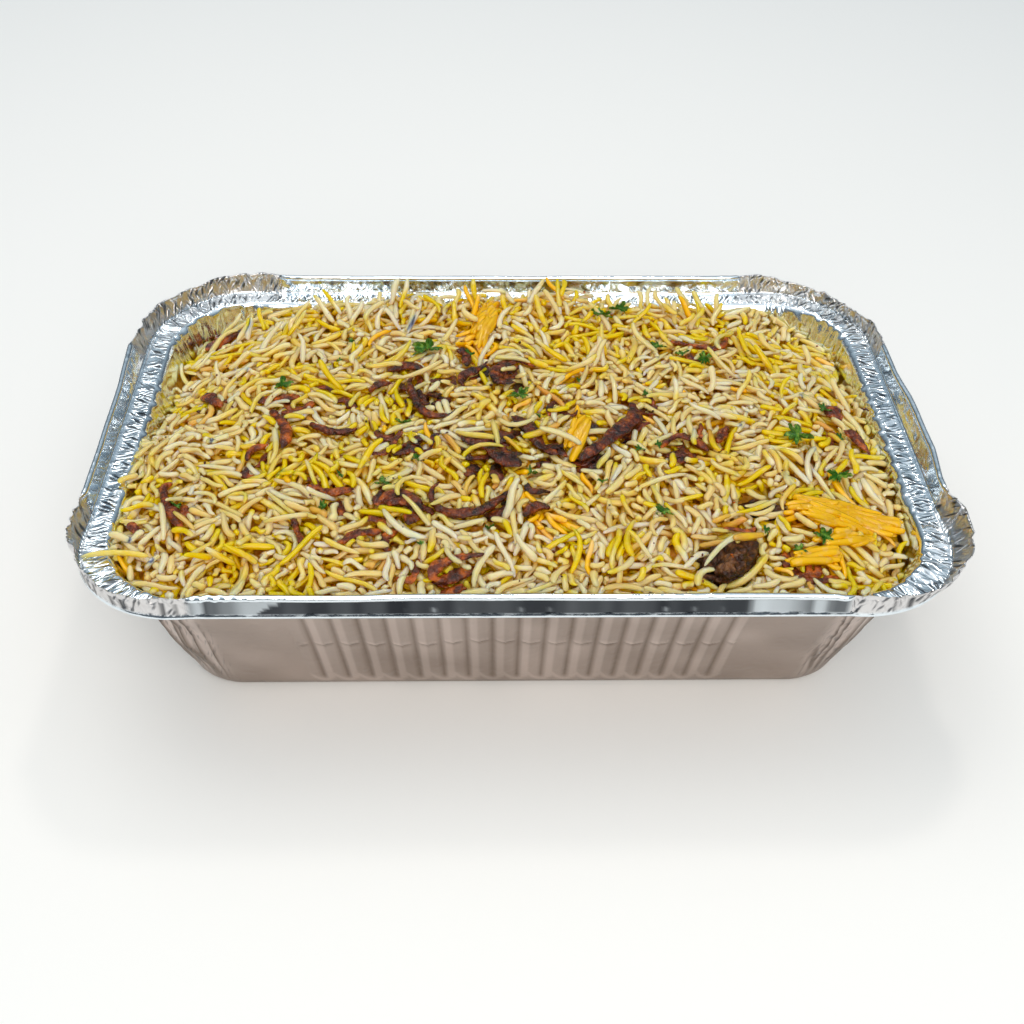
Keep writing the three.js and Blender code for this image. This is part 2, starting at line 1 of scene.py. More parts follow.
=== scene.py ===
import json
import math
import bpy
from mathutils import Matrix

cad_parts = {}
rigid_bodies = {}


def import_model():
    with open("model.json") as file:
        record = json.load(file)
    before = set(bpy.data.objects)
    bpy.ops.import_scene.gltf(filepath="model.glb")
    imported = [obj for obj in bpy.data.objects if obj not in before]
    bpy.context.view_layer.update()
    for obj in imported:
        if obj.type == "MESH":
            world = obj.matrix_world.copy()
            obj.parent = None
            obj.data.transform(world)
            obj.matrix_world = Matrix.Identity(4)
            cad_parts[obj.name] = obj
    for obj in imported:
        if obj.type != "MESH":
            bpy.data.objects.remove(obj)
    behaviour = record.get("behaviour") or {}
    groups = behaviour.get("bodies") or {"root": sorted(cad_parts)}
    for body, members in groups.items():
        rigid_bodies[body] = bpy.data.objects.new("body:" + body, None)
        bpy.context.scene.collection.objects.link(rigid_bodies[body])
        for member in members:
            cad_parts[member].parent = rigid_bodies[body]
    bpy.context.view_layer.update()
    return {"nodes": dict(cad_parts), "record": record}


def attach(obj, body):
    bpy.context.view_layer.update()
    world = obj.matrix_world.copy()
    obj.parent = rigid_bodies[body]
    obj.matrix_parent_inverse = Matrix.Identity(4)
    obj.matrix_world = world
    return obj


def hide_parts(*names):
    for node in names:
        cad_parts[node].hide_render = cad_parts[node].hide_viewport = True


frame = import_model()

from types import SimpleNamespace

import bmesh
import bpy
import numpy as np
from bpy.props import FloatProperty, FloatVectorProperty, IntProperty, PointerProperty
from mathutils import Matrix, Vector
from mathutils.bvhtree import BVHTree

bl_info = {
    "name": "Foil Tray Meal",
    "version": (1, 0, 0),
    "blender": (4, 5, 0),
    "location": "3D View > Sidebar > Tray Meal",
    "description": "Builds a rice meal in a pressed foil tray around its packed solids",
    "category": "Add Mesh",
}

MM = 0.001
BODY = "root"
NODES = frame["nodes"]
SLOTS = {entry["node"]: entry["material_slot"] for entry in frame["record"]["subparts"]}


def nodes_in_slot(slot):
    """The CAD nodes that take their finish from a material slot, in the record's order."""
    return [node for node, of_slot in SLOTS.items() if of_slot == slot]


def linear(hex_colour):
    """An sRGB hex colour as linear red, green and blue."""
    channels = [int(hex_colour[i:i + 2], 16) / 255 for i in (1, 3, 5)]
    return tuple(c / 12.92 if c <= 0.04045 else ((c + 0.055) / 1.055) ** 2.4 for c in channels)


# ---------------------------------------------------------------- settings

def size(name, default, note):
    """A length setting, given in millimetres and kept in metres."""
    return FloatProperty(name=name, description=note, default=default * MM, unit="LENGTH", precision=4)


def colour(name, default, note):
    """A colour setting, given as sRGB hex."""
    return FloatVectorProperty(
        name=name, description=note, default=linear(default), subtype="COLOR", min=0, max=1,
    )


def strength(name, default, note):
    """A light's strength as a setting."""
    return FloatProperty(name=name, description=note, default=default)


class TraySettings(bpy.types.PropertyGroup):
    """Settings of the foil tray"""

    crease_depth: size("Crease depth", 0.32, "Height of the creases pressed into the ledge")
    flute_depth: size("Flute depth", 0.42, "How far the wall's flutes swing in and out")
    foil: colour("Foil", "#EAF2F8", "Bright side of the rolled foil")
    # painted light: the wall's colour runs from trough, painted shade down between the flutes, to wall, a
    # painted highlight on their bright flanks
    wall: colour("Wall", "#D8C9C1", "Bright flank of a flute, on the dull outside of the wall")
    trough: colour("Trough", "#8C7D72", "The wall's foil down between its flutes")
    # painted reflection: the flange's outside below its hem is painted dark, as if it mirrored dark
    # surroundings
    flange_painted_dark: colour("Flange back", "#26282D", "Outside of the flange, below its hem")


class RiceSettings(bpy.types.PropertyGroup):
    """Settings of the rice"""

    grain_length: size("Grain length", 12.6, "Usual length of a cooked grain")
    grain_width: size("Grain width", 1.55, "Usual width of a cooked grain")
    heap_depth: size("Loose depth", 5.0, "Depth of the loose grains over the packed core")
    seed: IntProperty(name="Seed", description="Start of the random draws for the heap", default=11)
    turmeric: colour("Turmeric rice", "#FFC400", "Grain dyed by turmeric")
    saffron: colour("Saffron rice", "#FFBC00", "Grain dyed by saffron")
    core: colour("Packed rice", "#F09C10", "Shaded rice between the grains")


class ToppingSettings(bpy.types.PropertyGroup):
    """Settings of the onion, the leaves and the meat"""

    onion_dark: colour("Onion, dark", "#240804", "Crisp edge of a fried onion strip")
    onion_light: colour("Onion, light", "#C46212", "Thin middle of a fried onion strip")
    leaf: colour("Leaf", "#2C6412", "Top of a herb leaf")
    leaf_pale: colour("Leaf, pale", "#8CB848", "Vein and underside of a herb leaf")
    meat: colour("Meat", "#4A260F", "Braised meat")


class StageSettings(bpy.types.PropertyGroup):
    """Settings of the camera, the floor and the lights"""

    lens: size("Lens", 43.295, "Focal length of the camera")
    floor: colour("Floor", "#FBFAF8", "Pale studio floor")
    light: strength("Light", 1.1, "Strength of the soft top light")
    fill: strength("Fill", 5.0, "Strength of the soft light from the front")
    lamp: strength("Lamp", 0.45, "Strength of the small lamp that makes the highlights")
    sky: strength("Sky", 0.92, "Strength of the light from all round")


# ---------------------------------------------------------------- materials

def add_node(tree, kind, inputs=None, **settings):
    """Adds a shader node, sets it, and fills or links its sockets; colours are linear triples."""
    node = tree.nodes.new("ShaderNode" + kind)
    for name, value in settings.items():
        setattr(node, name, value)
    for name, value in (inputs or {}).items():
        socket = node.inputs[name]
        if isinstance(value, bpy.types.NodeSocket):
            tree.links.new(value, socket)
        else:
            socket.default_value = (*value, 1.0) if socket.type == "RGBA" else value
    return node


def new_material(name):
    """An empty node material, with its tree and its Object coordinates."""
    material = bpy.data.materials.new(name)
    material.use_nodes = True
    tree = material.node_tree
    tree.nodes.clear()
    return material, tree, add_node(tree, "TexCoord").outputs["Object"]


def surface(material, inputs):
    """Gives a material its one shader and hands the material back."""
    tree = material.node_tree
    shader = add_node(tree, "BsdfPrincipled", inputs)
    add_node(tree, "OutputMaterial", {"Surface": shader.outputs["BSDF"]})
    return material


def noise(tree, coords, scale, detail, **settings):
    """Noise over coordinates; a scale of 1000 has bumps about 1 mm apart."""
    inputs = {"Vector": coords, "Scale": scale, "Detail": detail}
    return add_node(tree, "TexNoise", inputs, **settings).outputs["Fac"]


def bump(tree, height, amount, distance, **inputs):
    """A normal bent by a height, over a distance in metres."""
    inputs = {"Height": height, "Strength": amount, "Distance": distance, **inputs}
    return add_node(tree, "Bump", inputs).outputs["Normal"]


def blend(tree, share, first, second):
    """A colour that goes from the first to the second with a share."""
    inputs = {"Factor": share, "A": first, "B": second}
    return add_node(tree, "Mix", inputs, data_type="RGBA").outputs["Result"]


def ranged(tree, value, start, end, low=0.0, high=1.0):
    """A value's run from start to end as one from low to high, held at the ends."""
    inputs = {"Value": value, "From Min": start, "From Max": end, "To Min": low, "To Max": high}
    return add_node(tree, "MapRange", inputs).outputs["Result"]


def reckon(tree, operation, first, second, **settings):
    """Two values worked into one."""
    return add_node(tree, "Math", {0: first, 1: second}, operation=operation, **settings).outputs["Value"]


def ramp(tree, value, stops):
    """A colour read off a row of stops: place, linear colour."""
    node = add_node(tree, "ValToRGB", {"Fac": value})
    elements = node.color_ramp.elements
    while len(elements) < len(stops):
        elements.new(0.5)
    for element, (place, shade) in zip(elements, stops):
        element.position = place
        element.color = (*shade, 1.0)
    return node.outputs["Color"]


# ---------------------------------------------------------------- shared helpers

NOISE_CELLS = 256


def smooth_noise(u, v, seed, repeat=NOISE_CELLS):
    """Smooth random values from -1 to 1, one for each whole u and v; u starts again after repeat."""
    table = np.random.default_rng(seed).uniform(-1, 1, (NOISE_CELLS, NOISE_CELLS))
    u, v = np.broadcast_arrays(np.asarray(u, float), np.asarray(v, float))
    u0, v0 = np.floor(u).astype(int), np.floor(v).astype(int)
    fu, fv = u - u0, v - v0
    fu, fv = fu * fu * (3 - 2 * fu), fv * fv * (3 - 2 * fv)
    low, high = u0 % repeat, (u0 + 1) % repeat
    near, far = v0 % NOISE_CELLS, (v0 + 1) % NOISE_CELLS
    first = table[low, near] * (1 - fu) + table[high, near] * fu
    second = table[low, far] * (1 - fu) + table[high, far] * fu
    return first * (1 - fv) + second * fv


def flat_noise(x, y, pitch, shift, seed):
    """Smooth noise over the tray's plan, with a pitch in millimetres."""
    return smooth_noise(x / pitch + shift, y / pitch + shift, seed)


def smoothstep(value, low, high):
    """0 below low, 1 above high, and a soft rise between."""
    share = np.clip((value - low) / (high - low), 0, 1)
    return share * share * (3 - 2 * share)


def finish_piece(obj, material, slot, *replaced):
    """Gives a piece its material, makes it ride on the body, and hides the nodes it stands for."""
    obj.data.materials.clear()
    obj.data.materials.append(material)
    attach(obj, BODY)
    if replaced:
        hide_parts(*replaced)


def link_mesh(name, mesh):
    """A new object with a mesh, at the origin."""
    obj = bpy.data.objects.new(name, mesh)
    bpy.context.scene.collection.objects.link(obj)
    return obj


def mesh_of(bm, name):
    """A new mesh from a bmesh, which is used up."""
    mesh = bpy.data.meshes.new(name)
    bm.to_mesh(mesh)
    bm.free()
    return mesh


def smooth_faces(mesh):
    """Shades all of a mesh's faces smooth."""
    mesh.polygons.foreach_set("use_smooth", [True] * len(mesh.polygons))


def mesh_vectors(values, name):
    """The co or normal of each of a mesh's points, as rows."""
    flat = np.empty(len(values) * 3)
    values.foreach_get(name, flat)
    return flat.reshape(-1, 3)


def mesh_from_grid(name, points, zones=None, places=None):
    """A closed skin over rows and columns of points in millimetres; a row that is one point is a pole."""
    rows, columns = points.shape[:2]
    bm = bmesh.new()
    bmesh.ops.create_grid(bm, x_segments=rows - 1, y_segments=columns - 1, size=1.0)
    mesh = mesh_of(bm, name)
    grid = mesh_vectors(mesh.vertices, "co")
    row = np.rint((grid[:, 0] + 1) / 2 * (rows - 1)).astype(int)
    column = np.rint((grid[:, 1] + 1) / 2 * (columns - 1)).astype(int)
    mesh.vertices.foreach_set("co", (points[row, column] * MM).ravel())
    if zones is not None:
        tint = mesh.color_attributes.new("zone", "FLOAT_COLOR", "POINT")
        tint.data.foreach_set("color", zones[row, column].ravel())
    if places is not None:
        spot = mesh.attributes.new("place", "FLOAT_VECTOR", "POINT")
        spot.data.foreach_set("vector", places[row, column].ravel())
    bm = bmesh.new()
    bm.from_mesh(mesh)
    bmesh.ops.remove_doubles(bm, verts=bm.verts, dist=1e-6)
    bmesh.ops.dissolve_degenerate(bm, edges=bm.edges, dist=1e-7)
    bmesh.ops.recalc_face_normals(bm, faces=bm.faces)
    bm.to_mesh(mesh)
    bm.free()
    smooth_faces(mesh)
    return mesh


def closed(rows):
    """Rows of points or values round a piece, with the first column again as the last."""
    rows = np.stack(rows)
    return np.concatenate([rows, rows[:, :1]], 1)


# ---------------------------------------------------------------- outlines of the tray

TRAY_MIDDLE = (-0.33, -0.52)         # the tray's own middle, in the frame
OPENING = (190.0, 118.2, 22.5)       # length, width, corner radius at the ledge's inner edge
BASE = (165.4, 93.4, 14.5)
LEDGE_Z = 44.5
RIM_Z = 50.2
LEDGE_WIDTH = 5.45
FOIL = 0.32
SIDE_STEP = 0.63
CORNER_STEPS = 80
FLUTE_PITCH = 6.3
FLUTES = {"long": 17, "short": 7}
NO_SIDE = 999.0                      # stands for a place along a side, in a corner


def make_stations():
    """Arrays that run once round the tray, anticlockwise from the front of the right side."""
    parts = []
    for side in range(4):
        straight = OPENING[side % 2 == 0] - 2 * OPENING[2]
        count = round(straight / SIDE_STEP)
        along = np.arange(count) / count - 0.5
        parts.append(np.stack([np.full(count, side), np.full(count, 90.0 * side), along, along * 0], 1))
        share = np.arange(CORNER_STEPS) / CORNER_STEPS
        parts.append(np.stack([np.full(CORNER_STEPS, side), 90 * (side + share), share * 0 + 0.5, share], 1))
    side, heading, along, share = np.concatenate(parts).T
    side = side.astype(int)
    turn = np.radians(heading)
    st = SimpleNamespace(
        side=side, along=along, share=share, short=side % 2 == 0,
        sign_x=np.array([1, -1, -1, 1])[side], sign_y=np.array([1, 1, -1, -1])[side],
        travel_x=np.array([0, -1, 0, 1])[side], travel_y=np.array([1, 0, -1, 0])[side],
        cos=np.cos(turn), sin=np.sin(turn),
    )
    st.corner = np.sin(np.pi * share)
    x, y = outline(st, OPENING, LEDGE_WIDTH)
    step = np.hypot(np.roll(x, -1) - x, np.roll(y, -1) - y)
    st.round = step.sum()
    st.arc = np.cumsum(step) - step
    st.way = st.arc / st.round
    st.direction = np.degrees(np.arctan2(y, x)) % 360
    straight = np.where(st.short, OPENING[1], OPENING[0]) - 2 * OPENING[2]
    st.off_middle = np.where(share > 0, NO_SIDE, along * straight)
    st.in_corner = smoothstep(st.corner, 0.02, 0.4)
    return st


def outline(st, shape, outward):
    """The stations' points on a rounded rectangle, moved outward."""
    length, width, radius = shape
    run = np.where(st.short, width, length) - 2 * radius
    back = (0.5 - st.along) * run
    reach = radius + outward
    x = st.sign_x * (length / 2 - radius) - st.travel_x * back + reach * st.cos
    y = st.sign_y * (width / 2 - radius) - st.travel_y * back + reach * st.sin
    return x, y


def wall_outline(z):
    """The wall's rounded rectangle at a height, between the base's and the opening's."""
    share = min(max(z / LEDGE_Z, 0.0), 1.0)
    return tuple(low + (high - low) * share for low, high in zip(BASE, OPENING))


def round_noise(st, count, across, seed):
    """Smooth noise with a number of values once round the tray, at a place across."""
    return smooth_noise(st.way * count, across, seed, repeat=count)


# ---------------------------------------------------------------- the foil tray

# How far the flange's top leans out past its foot: direction from the middle in degrees, lean.
LEAN = (
    (0, 2.1), (4, 1.9), (10, 0.9), (17, 0.8), (21, 0.8), (24, 0.5), (27, -0.6), (30, 0.0), (33, 0.5),
    (36, 0.0), (39, 0.3), (41, 1.2), (46, 0.2), (90, -0.2), (134, -0.3), (138, 0.9), (141, 1.4),
    (146, 0.4), (150, 0.5), (154, 1.7), (160, 1.8), (163, 2.8), (173, 1.6), (188, 1.2), (196, 1.0),
    (200, 1.9), (203, 1.7), (207, 0.0), (219, -0.4), (225, -0.9), (270, -1.0), (315, -0.9), (321, -0.5),
    (325, 0.6), (328, 1.6), (331, 2.0), (334, 3.1), (337, 3.6), (339, 3.5), (341, 3.3), (343, 1.2),
    (346, 1.1), (352, 2.2), (360, 2.1),
)
EDGE_DROP = (1.9, 0.3, 0.8, 1.2)      # of the flange's edge in the middle of each corner
SWELL = (0.5, 0.5, 1.7, 1.7)          # of the ledge in the middle of each corner
HEM_ENDS = ((17, 44), (136, 163), (197, 222), (318, 344))    # directions between which there is no hem
DENT_Z = 21.5
DENT_REACH = 2.7
DENT_DEPTH = 0.3
FLANGE_FOOT = 0.6                     # of the flange over the ledge
# the flange's dark back is a painted dark reflection
DARK_HALF = {"long": 45, "short": 22}           # how far the flange's dark back runs from the side's middle
INNER_WALL = (2.0, 10, 20, 28, 33, 37, 40, 42.5, 43.7)
# The ledge: rounded inner edge, creased band, raised strip and groove, as out from the edge, height.
LEDGE_SECTION = (
    (0.0, -0.3), (0.3, -0.05), (0.7, 0.02), (1.1, 0), (1.6, 0), (2.2, 0), (2.8, 0), (3.4, 0), (3.9, 0),
    (4.2, 0.06), (4.5, 0.2), (4.85, 0.2), (5.15, 0.02), (5.4, -0.12),
)
FLANGE_INSIDE = (0.03, 0.12, 0.25, 0.42, 0.58, 0.7)          # shares of the flange's height
# The rolled hem: share of the flange's height, how far out, lift.
HEM_SECTION = (
    (0.76, -0.12, 0), (0.79, -0.38, 0.1), (0.88, -0.5, 0.1), (0.97, -0.3, 0.1), (1.0, 0.15, 0.08),
    (0.98, 0.62, 0.1), (0.9, 0.85, 0), (0.8, 0.82, 0), (0.76, 0.5, -0.1),
)
# The flange's outside: share of its height, how bright its spots of painted highlight are.
FLANGE_OUTSIDE = ((0.7, 0.25), (0.64, 0.0), (0.4, 0.0), (0.26, 0.5), (0.16, 0.5), (0.08, 0.0))
LIP = ((0.45, 0.1), (0.38, -0.15), (0.2, -0.4))              # under the flange: out, height over the ledge
OUTER_WALL = (43.9, 43.0, 41, 38.5, 36, 33.5, 31, 29, 27.5, 26.4, *np.arange(25.5, 17.0, -0.62),
              16, 14, 12, 10, 8.6, 7.4, 6.3, 5.3, 4.3, 3.3, 2.4)
# The rounded edge of the base and its recess: inward, height.
BASE_SECTION = ((0.05, 1.6), (0.35, 0.8), (0.9, 0.25), (1.7, 0.0), (3.2, 0.0), (4.4, 0.22), (14, 0.22))
BASE_RECESS = 0.22


def flute_wave(st):
    """Distance from the nearest trough in millimetres, place among the flutes, and where flutes are."""
    half = np.where(st.short, FLUTES["short"], FLUTES["long"]) * FLUTE_PITCH / 2
    inside = smoothstep(half - np.abs(st.off_middle), -0.6, 0.6)
    phase = (st.off_middle + half) / FLUTE_PITCH
    off_trough = (phase - 0.5 - np.rint(phase - 0.5)) * FLUTE_PITCH
    return off_trough, phase, inside


def dent(st, z):
    """The small pinched dents across the ridges: out above, in below."""
    _, phase, inside = flute_wave(st)
    nearest = np.rint(phase)
    off_ridge = (phase - nearest) * FLUTE_PITCH
    dent_z = DENT_Z + 2.2 * smooth_noise((nearest + 40 * st.side) * 0.37, 0.5, 5) + 0.5 * np.abs(off_ridge)
    gap = (z - dent_z) / 0.62
    return inside * smoothstep(DENT_REACH - np.abs(off_ridge), 0, 1.2) * gap * np.exp(0.5 - gap * gap)


def flute_foot(off_trough):
    """Height of the rounded lower ends of the flutes."""
    return 3.2 + 2.6 * (off_trough / (FLUTE_PITCH / 2)) ** 2


def above_foot(off_trough, z):
    """0 under the lower ends of the flutes, 1 above them."""
    lowest = flute_foot(off_trough)
    return smoothstep(z, lowest, lowest + 2.2)


def wall_relief(st, z, depth):
    """How far the wall's foil stands out of its plain outline at a height."""
    off_trough, _, inside = flute_wave(st)
    swing = 1 - 2.4 * np.exp(-(off_trough / 0.85) ** 2) - 0.5 * smoothstep(-off_trough, 0.6, 2.6)
    relief = depth * 0.7 * inside * swing * above_foot(off_trough, z) + DENT_DEPTH * dent(st, z)
    buckle = round_noise(st, 48, z / 11 + st.arc * 0.04, 9)
    relief = relief + 0.6 * (1 - inside) * buckle * smoothstep(z, 3, 12)
    return relief + 0.8 * (corner_fold(st, z) - 0.4) * smoothstep(z, 1, 22)


def corner_fold(st, z):
    """The long folds down the corners: 1 on a fold, 0 between two and away from the corners."""
    turns = st.way * 240 + (z - LEDGE_Z) * 0.05 * np.cos(np.pi * st.share)
    fold = smoothstep(1 - 1.6 * np.abs(smooth_noise(turns, z / 30 + 3.0, 13, repeat=240)), 0.15, 1.0)
    return fold * st.in_corner


def wall_shade(st, z):
    """Painted shade and highlight on the dull foil: 0 is painted shade down in a trough, 1 a painted
    highlight on the bright flank of a flute and on a dent's lip.
    """
    off_trough, _, inside = flute_wave(st)
    # painted highlight on each flute's flank and painted shade down in its trough
    flank = smoothstep(off_trough, 0.5, 0.9) * smoothstep(-off_trough, -3.2, -2.6)
    tone = 0.26 * flank - 0.42 * np.exp(-(off_trough / 0.6) ** 2)
    # painted highlight along the rounded lower ends of the flutes
    lip = np.exp(-((z - flute_foot(off_trough)) / 0.9) ** 2)
    # tone that differs at random, in blotches
    blotch = 0.16 * round_noise(st, 60, z / 7 + st.arc * 0.03, 15)
    # painted light above each dent and painted shade below it
    shade = 0.5 + inside * (tone * above_foot(off_trough, z) + 0.3 * lip) + 0.5 * dent(st, z) + blotch
    # painted shade on the folds down the corners, lighter between them
    shade = shade + 1.2 * st.in_corner * (0.4 - corner_fold(st, z)) * smoothstep(z, 1, 14)
    # darker towards the bottom
    return np.clip(shade - 0.14 * (1 - smoothstep(z, 4, 30)), 0, 1)


def ledge_relief(st, out, depth):
    """Height of the creases across the ledge, out from its inner edge."""
    slant = out * (0.3 + 0.9 * round_noise(st, 100, 0.5, 26))
    turns = (st.arc + slant + 0.7 * round_noise(st, 120, out / 3, 21)) / st.round
    sharp = 1 - 2.2 * np.abs(smooth_noise(turns * 250, out / 3.2, 22, repeat=250))
    fine = 1 - 2.0 * np.abs(smooth_noise(turns * 200 + 0.4, out / 2.5, 23, repeat=200))
    amount = 0.55 + 0.45 * round_noise(st, 30, 0.5, 24)
    band = smoothstep(out, 0.3, 1.1) * (1 - smoothstep(out, 3.7, 4.6) * (1 - st.corner))
    crease = depth * band * amount * (0.8 * sharp + 0.35 * fine)
    pleat = 1 - 2 * np.abs(round_noise(st, 256, out / 14, 25))
    pleat = 0.42 * smoothstep(st.corner, 0.05, 0.5) * pleat * smoothstep(out, 0.1, 1.0)
    return crease * (1 - 0.4 * st.corner) + pleat


def hem_mask(st):
    """1 where the flange's edge is rolled into a hem, 0 round the corners."""
    mask = np.ones_like(st.direction)
    for start, end in HEM_ENDS:
        past_end = smoothstep(st.direction, end - 0.4, end + 0.4)
        mask = mask * (1 - smoothstep(st.direction, start - 0.4, start + 0.4) * (1 - past_end))
    return mask


def make_tray_rings(st, settings):
    """Rows of points from the middle of the floor up inside, over the rim and down to the base."""
    rings, zones = [], []
    hem = hem_mask(st)
    bare = 1 - hem
    lean = np.interp(st.direction, *np.array(LEAN).T)
    swell = np.array(SWELL)[st.side] * st.corner
    foot = LEDGE_WIDTH + swell
    edge_z = RIM_Z - np.array(EDGE_DROP)[st.side] * st.corner + bare * 0.35 * round_noise(st, 250, 0.5, 31)
    edge_z = edge_z + 0.12 * round_noise(st, 40, 0.3, 36)
    depth = settings.crease_depth / MM
    flute_depth = settings.flute_depth / MM
    stripes = round_noise(st, 250, 0.5, 38)
    folds = smoothstep(np.abs(round_noise(st, 255, 0.5, 39)), 0.03, 0.3)
    pleats = 1 - smoothstep(np.abs(round_noise(st, 250, 3.5, 39)), 0.05, 0.6)
    half_dark = np.where(st.short, DARK_HALF["short"], DARK_HALF["long"])
    plain_end = smoothstep(np.abs(st.off_middle), half_dark + 12, half_dark + 22)

    def ring(shape, outward, z, wall=0.0, back=0.0, pleated=0.0, tone=None):
        """One ring, with how far it is dull wall, painted dark back and pleated, and its tone of painted
        shade and highlight.
        """
        x, y = outline(st, shape, outward)
        rings.append(np.stack([x, y, z + 0 * x], 1))
        shade = wall_shade(st, z) if tone is None else tone + 0 * x
        zones.append(np.stack([wall + 0 * x, back + 0 * x, shade, pleated + 0 * x], 1))

    def pole(z, wall=0.0):
        """One point in the middle, for every station."""
        rings.append(np.tile([0.0, 0.0, z], (len(st.arc), 1)))
        zones.append(np.tile([wall, 0.0, 0.0, 0.0], (len(st.arc), 1)))

    def painted_dark_back(share):
        """Painted dark reflection along the flutes, slanted at its start and in stripes at its end; a
        lighter painted dark under the hem with painted shade in its pleats at the plain ends; painted shade
        in fine fold lines in the corners.
        """
        start = smoothstep(st.off_middle + half_dark + 13 - 8 * share, -0.8, 0.8)
        end = smoothstep(half_dark + 8 + 12 * stripes - st.off_middle, -2.0, 7.0)
        dark = np.maximum(start * end * (0.95 + 0.05 * stripes), 0.95 * bare * (1 - folds))
        return np.maximum(dark, hem * (0.4 + 0.12 * stripes + 0.5 * plain_end * pleats))

    def flange(share, across, back=0.0, lift=0.0):
        """A ring of the flange, at a share of its height."""
        curve = lean * share ** 0.55
        pleat = 1 - 2 * np.abs(round_noise(st, 240, share * 0.8, 32))
        soft = round_noise(st, 60, share * 1.5, 33)
        crumple = bare * (0.55 * share * pleat + 0.25 * soft)
        crumple = crumple + hem * share * (0.22 * soft + 0.4 * plain_end * pleat)
        z = LEDGE_Z + FLANGE_FOOT + (edge_z - LEDGE_Z - FLANGE_FOOT) * share + lift
        ring(OPENING, foot + curve + crumple + across, z, 0.5 * bare, back, bare, tone=0.9)

    pole(FOIL)
    ring(BASE, -12, FOIL)
    ring(BASE, -2.0, FOIL)
    for z in INNER_WALL:
        ring(wall_outline(z), wall_relief(st, z, flute_depth) - FOIL, z)
    half_swing = wall_relief(st, 43.0, flute_depth) * 0.25
    for out, rise in LEDGE_SECTION:
        outward = out * (1 + swell / LEDGE_WIDTH) + half_swing * (1 - smoothstep(out, 0, 1.5))
        creased = smoothstep(out, 0.2, 0.8) * (1 - 0.85 * smoothstep(out, 3.9, 4.6) * (1 - st.corner))
        z = LEDGE_Z + rise * (1 - 0.7 * st.corner) + ledge_relief(st, out, depth)
        ring(OPENING, outward, z, pleated=creased)
    for share in FLANGE_INSIDE:
        flange(share, -0.1)
    for share, across, lift in HEM_SECTION:
        thin = -0.1 if across < 0 else 0.15
        flange(share, across * hem + thin * bare, lift=lift * hem)
    off_trough, _, fluted = flute_wave(st)
    # painted highlights: lighter spots along the flutes' troughs, in the flange's painted dark
    spots = fluted * np.exp(-(off_trough / 0.5) ** 2) * round_noise(st, 64, 0.5, 37)
    for share, bright in FLANGE_OUTSIDE:
        flange(share, 0.22, back=painted_dark_back(share) * (1 - bright * np.clip(spots, 0, 1)))
    # a little painted dark reflection on the flange's foot
    ring(OPENING, foot + 0.28, LEDGE_Z + 0.4, back=0.2 * painted_dark_back(0))
    for out, rise in LIP:
        ring(OPENING, foot + out, LEDGE_Z + rise)
    ring(OPENING, foot - 0.6, LEDGE_Z - 0.45, wall=1.0)
    ring(OPENING, foot / 2, LEDGE_Z - 0.4, wall=1.0)
    for z in OUTER_WALL:
        ring(wall_outline(z), wall_relief(st, z, flute_depth), z, wall=1.0, pleated=0.5 * st.corner ** 0.5)
    for inward, z in BASE_SECTION:
        ring(BASE, -inward, z, wall=1.0)
    pole(BASE_RECESS, wall=1.0)
    points = np.stack(rings)
    points[..., :2] += TRAY_MIDDLE
    points = closed(points)
    step = np.linalg.norm(np.diff(points, axis=0, prepend=points[:1]), axis=2)
    across = np.cumsum(np.median(step, 1))[:, None] + 0 * step
    arc = np.append(st.arc, st.round)[None, :] + 0 * step
    return points, closed(zones), np.stack([arc, across, 0 * arc], -1)


def foil_material(settings):
    """Rolled aluminium foil, pressed: bright and nearly mirror-like inside, duller and warmer outside."""
    material, tree, coords = new_material("rolled aluminium foil, pressed")
    zone = add_node(tree, "Attribute", attribute_name="zone")
    walled, painted_dark, shade = add_node(tree, "SeparateColor", {"Color": zone.outputs["Color"]}).outputs
    pleated = zone.outputs["Alpha"]
    place = add_node(tree, "Attribute", attribute_name="place").outputs["Vector"]
    # the wall is duller, with painted shade down in the flutes and a painted highlight on their flanks
    wall = blend(tree, shade, settings.trough, settings.wall)
    # painted dark reflection on the flange's outside
    plain = blend(tree, painted_dark, blend(tree, walled, settings.foil, wall), settings.flange_painted_dark)
    # creases about 1.2 mm apart that cross each other on the ledge and up the corners
    crossing = []
    for slant, turn in ((0.45, 0.0), (-0.3, 40.0)):
        stretched = add_node(tree, "Mapping", {
            "Vector": place, "Location": (turn, turn, turn), "Rotation": (0.0, 0.0, slant),
            "Scale": (1.1, 4.5, 1.0),
        }, vector_type="TEXTURE").outputs["Vector"]
        crossing.append(add_node(tree, "TexNoise", {
            "Vector": stretched, "Scale": 1.0, "Detail": 2.5, "Roughness": 0.55,
        }, noise_type="RIDGED_MULTIFRACTAL", normalize=True).outputs["Fac"])
    creases = reckon(tree, "MAXIMUM", *crossing)
    # down in a fold the foil sees little light
    shut = reckon(tree, "MULTIPLY", ranged(tree, crossing[0], 0.08, 0.26, 0.0, 0.85), pleated)
    lined = blend(tree, shut, plain, linear("#43484E"))
    pressed = bump(tree, creases, reckon(tree, "MULTIPLY", pleated, 0.95), 0.0009)
    # handling marks some 3 mm apart all over, and rolling grain
    dents = noise(tree, coords, 330.0, 2.0, noise_type="RIDGED_MULTIFRACTAL", normalize=True)
    handled = bump(tree, dents, 0.28, 0.0009, Normal=pressed)
    rolled = bump(tree, noise(tree, coords, 1400.0, 3.0), 0.15, 0.0002, Normal=handled)
    return surface(material, {
        "Base Color": lined, "Metallic": 1.0, "Normal": rolled,
        "Roughness": ranged(tree, walled, 0.0, 1.0, 0.14, 0.42),
    })


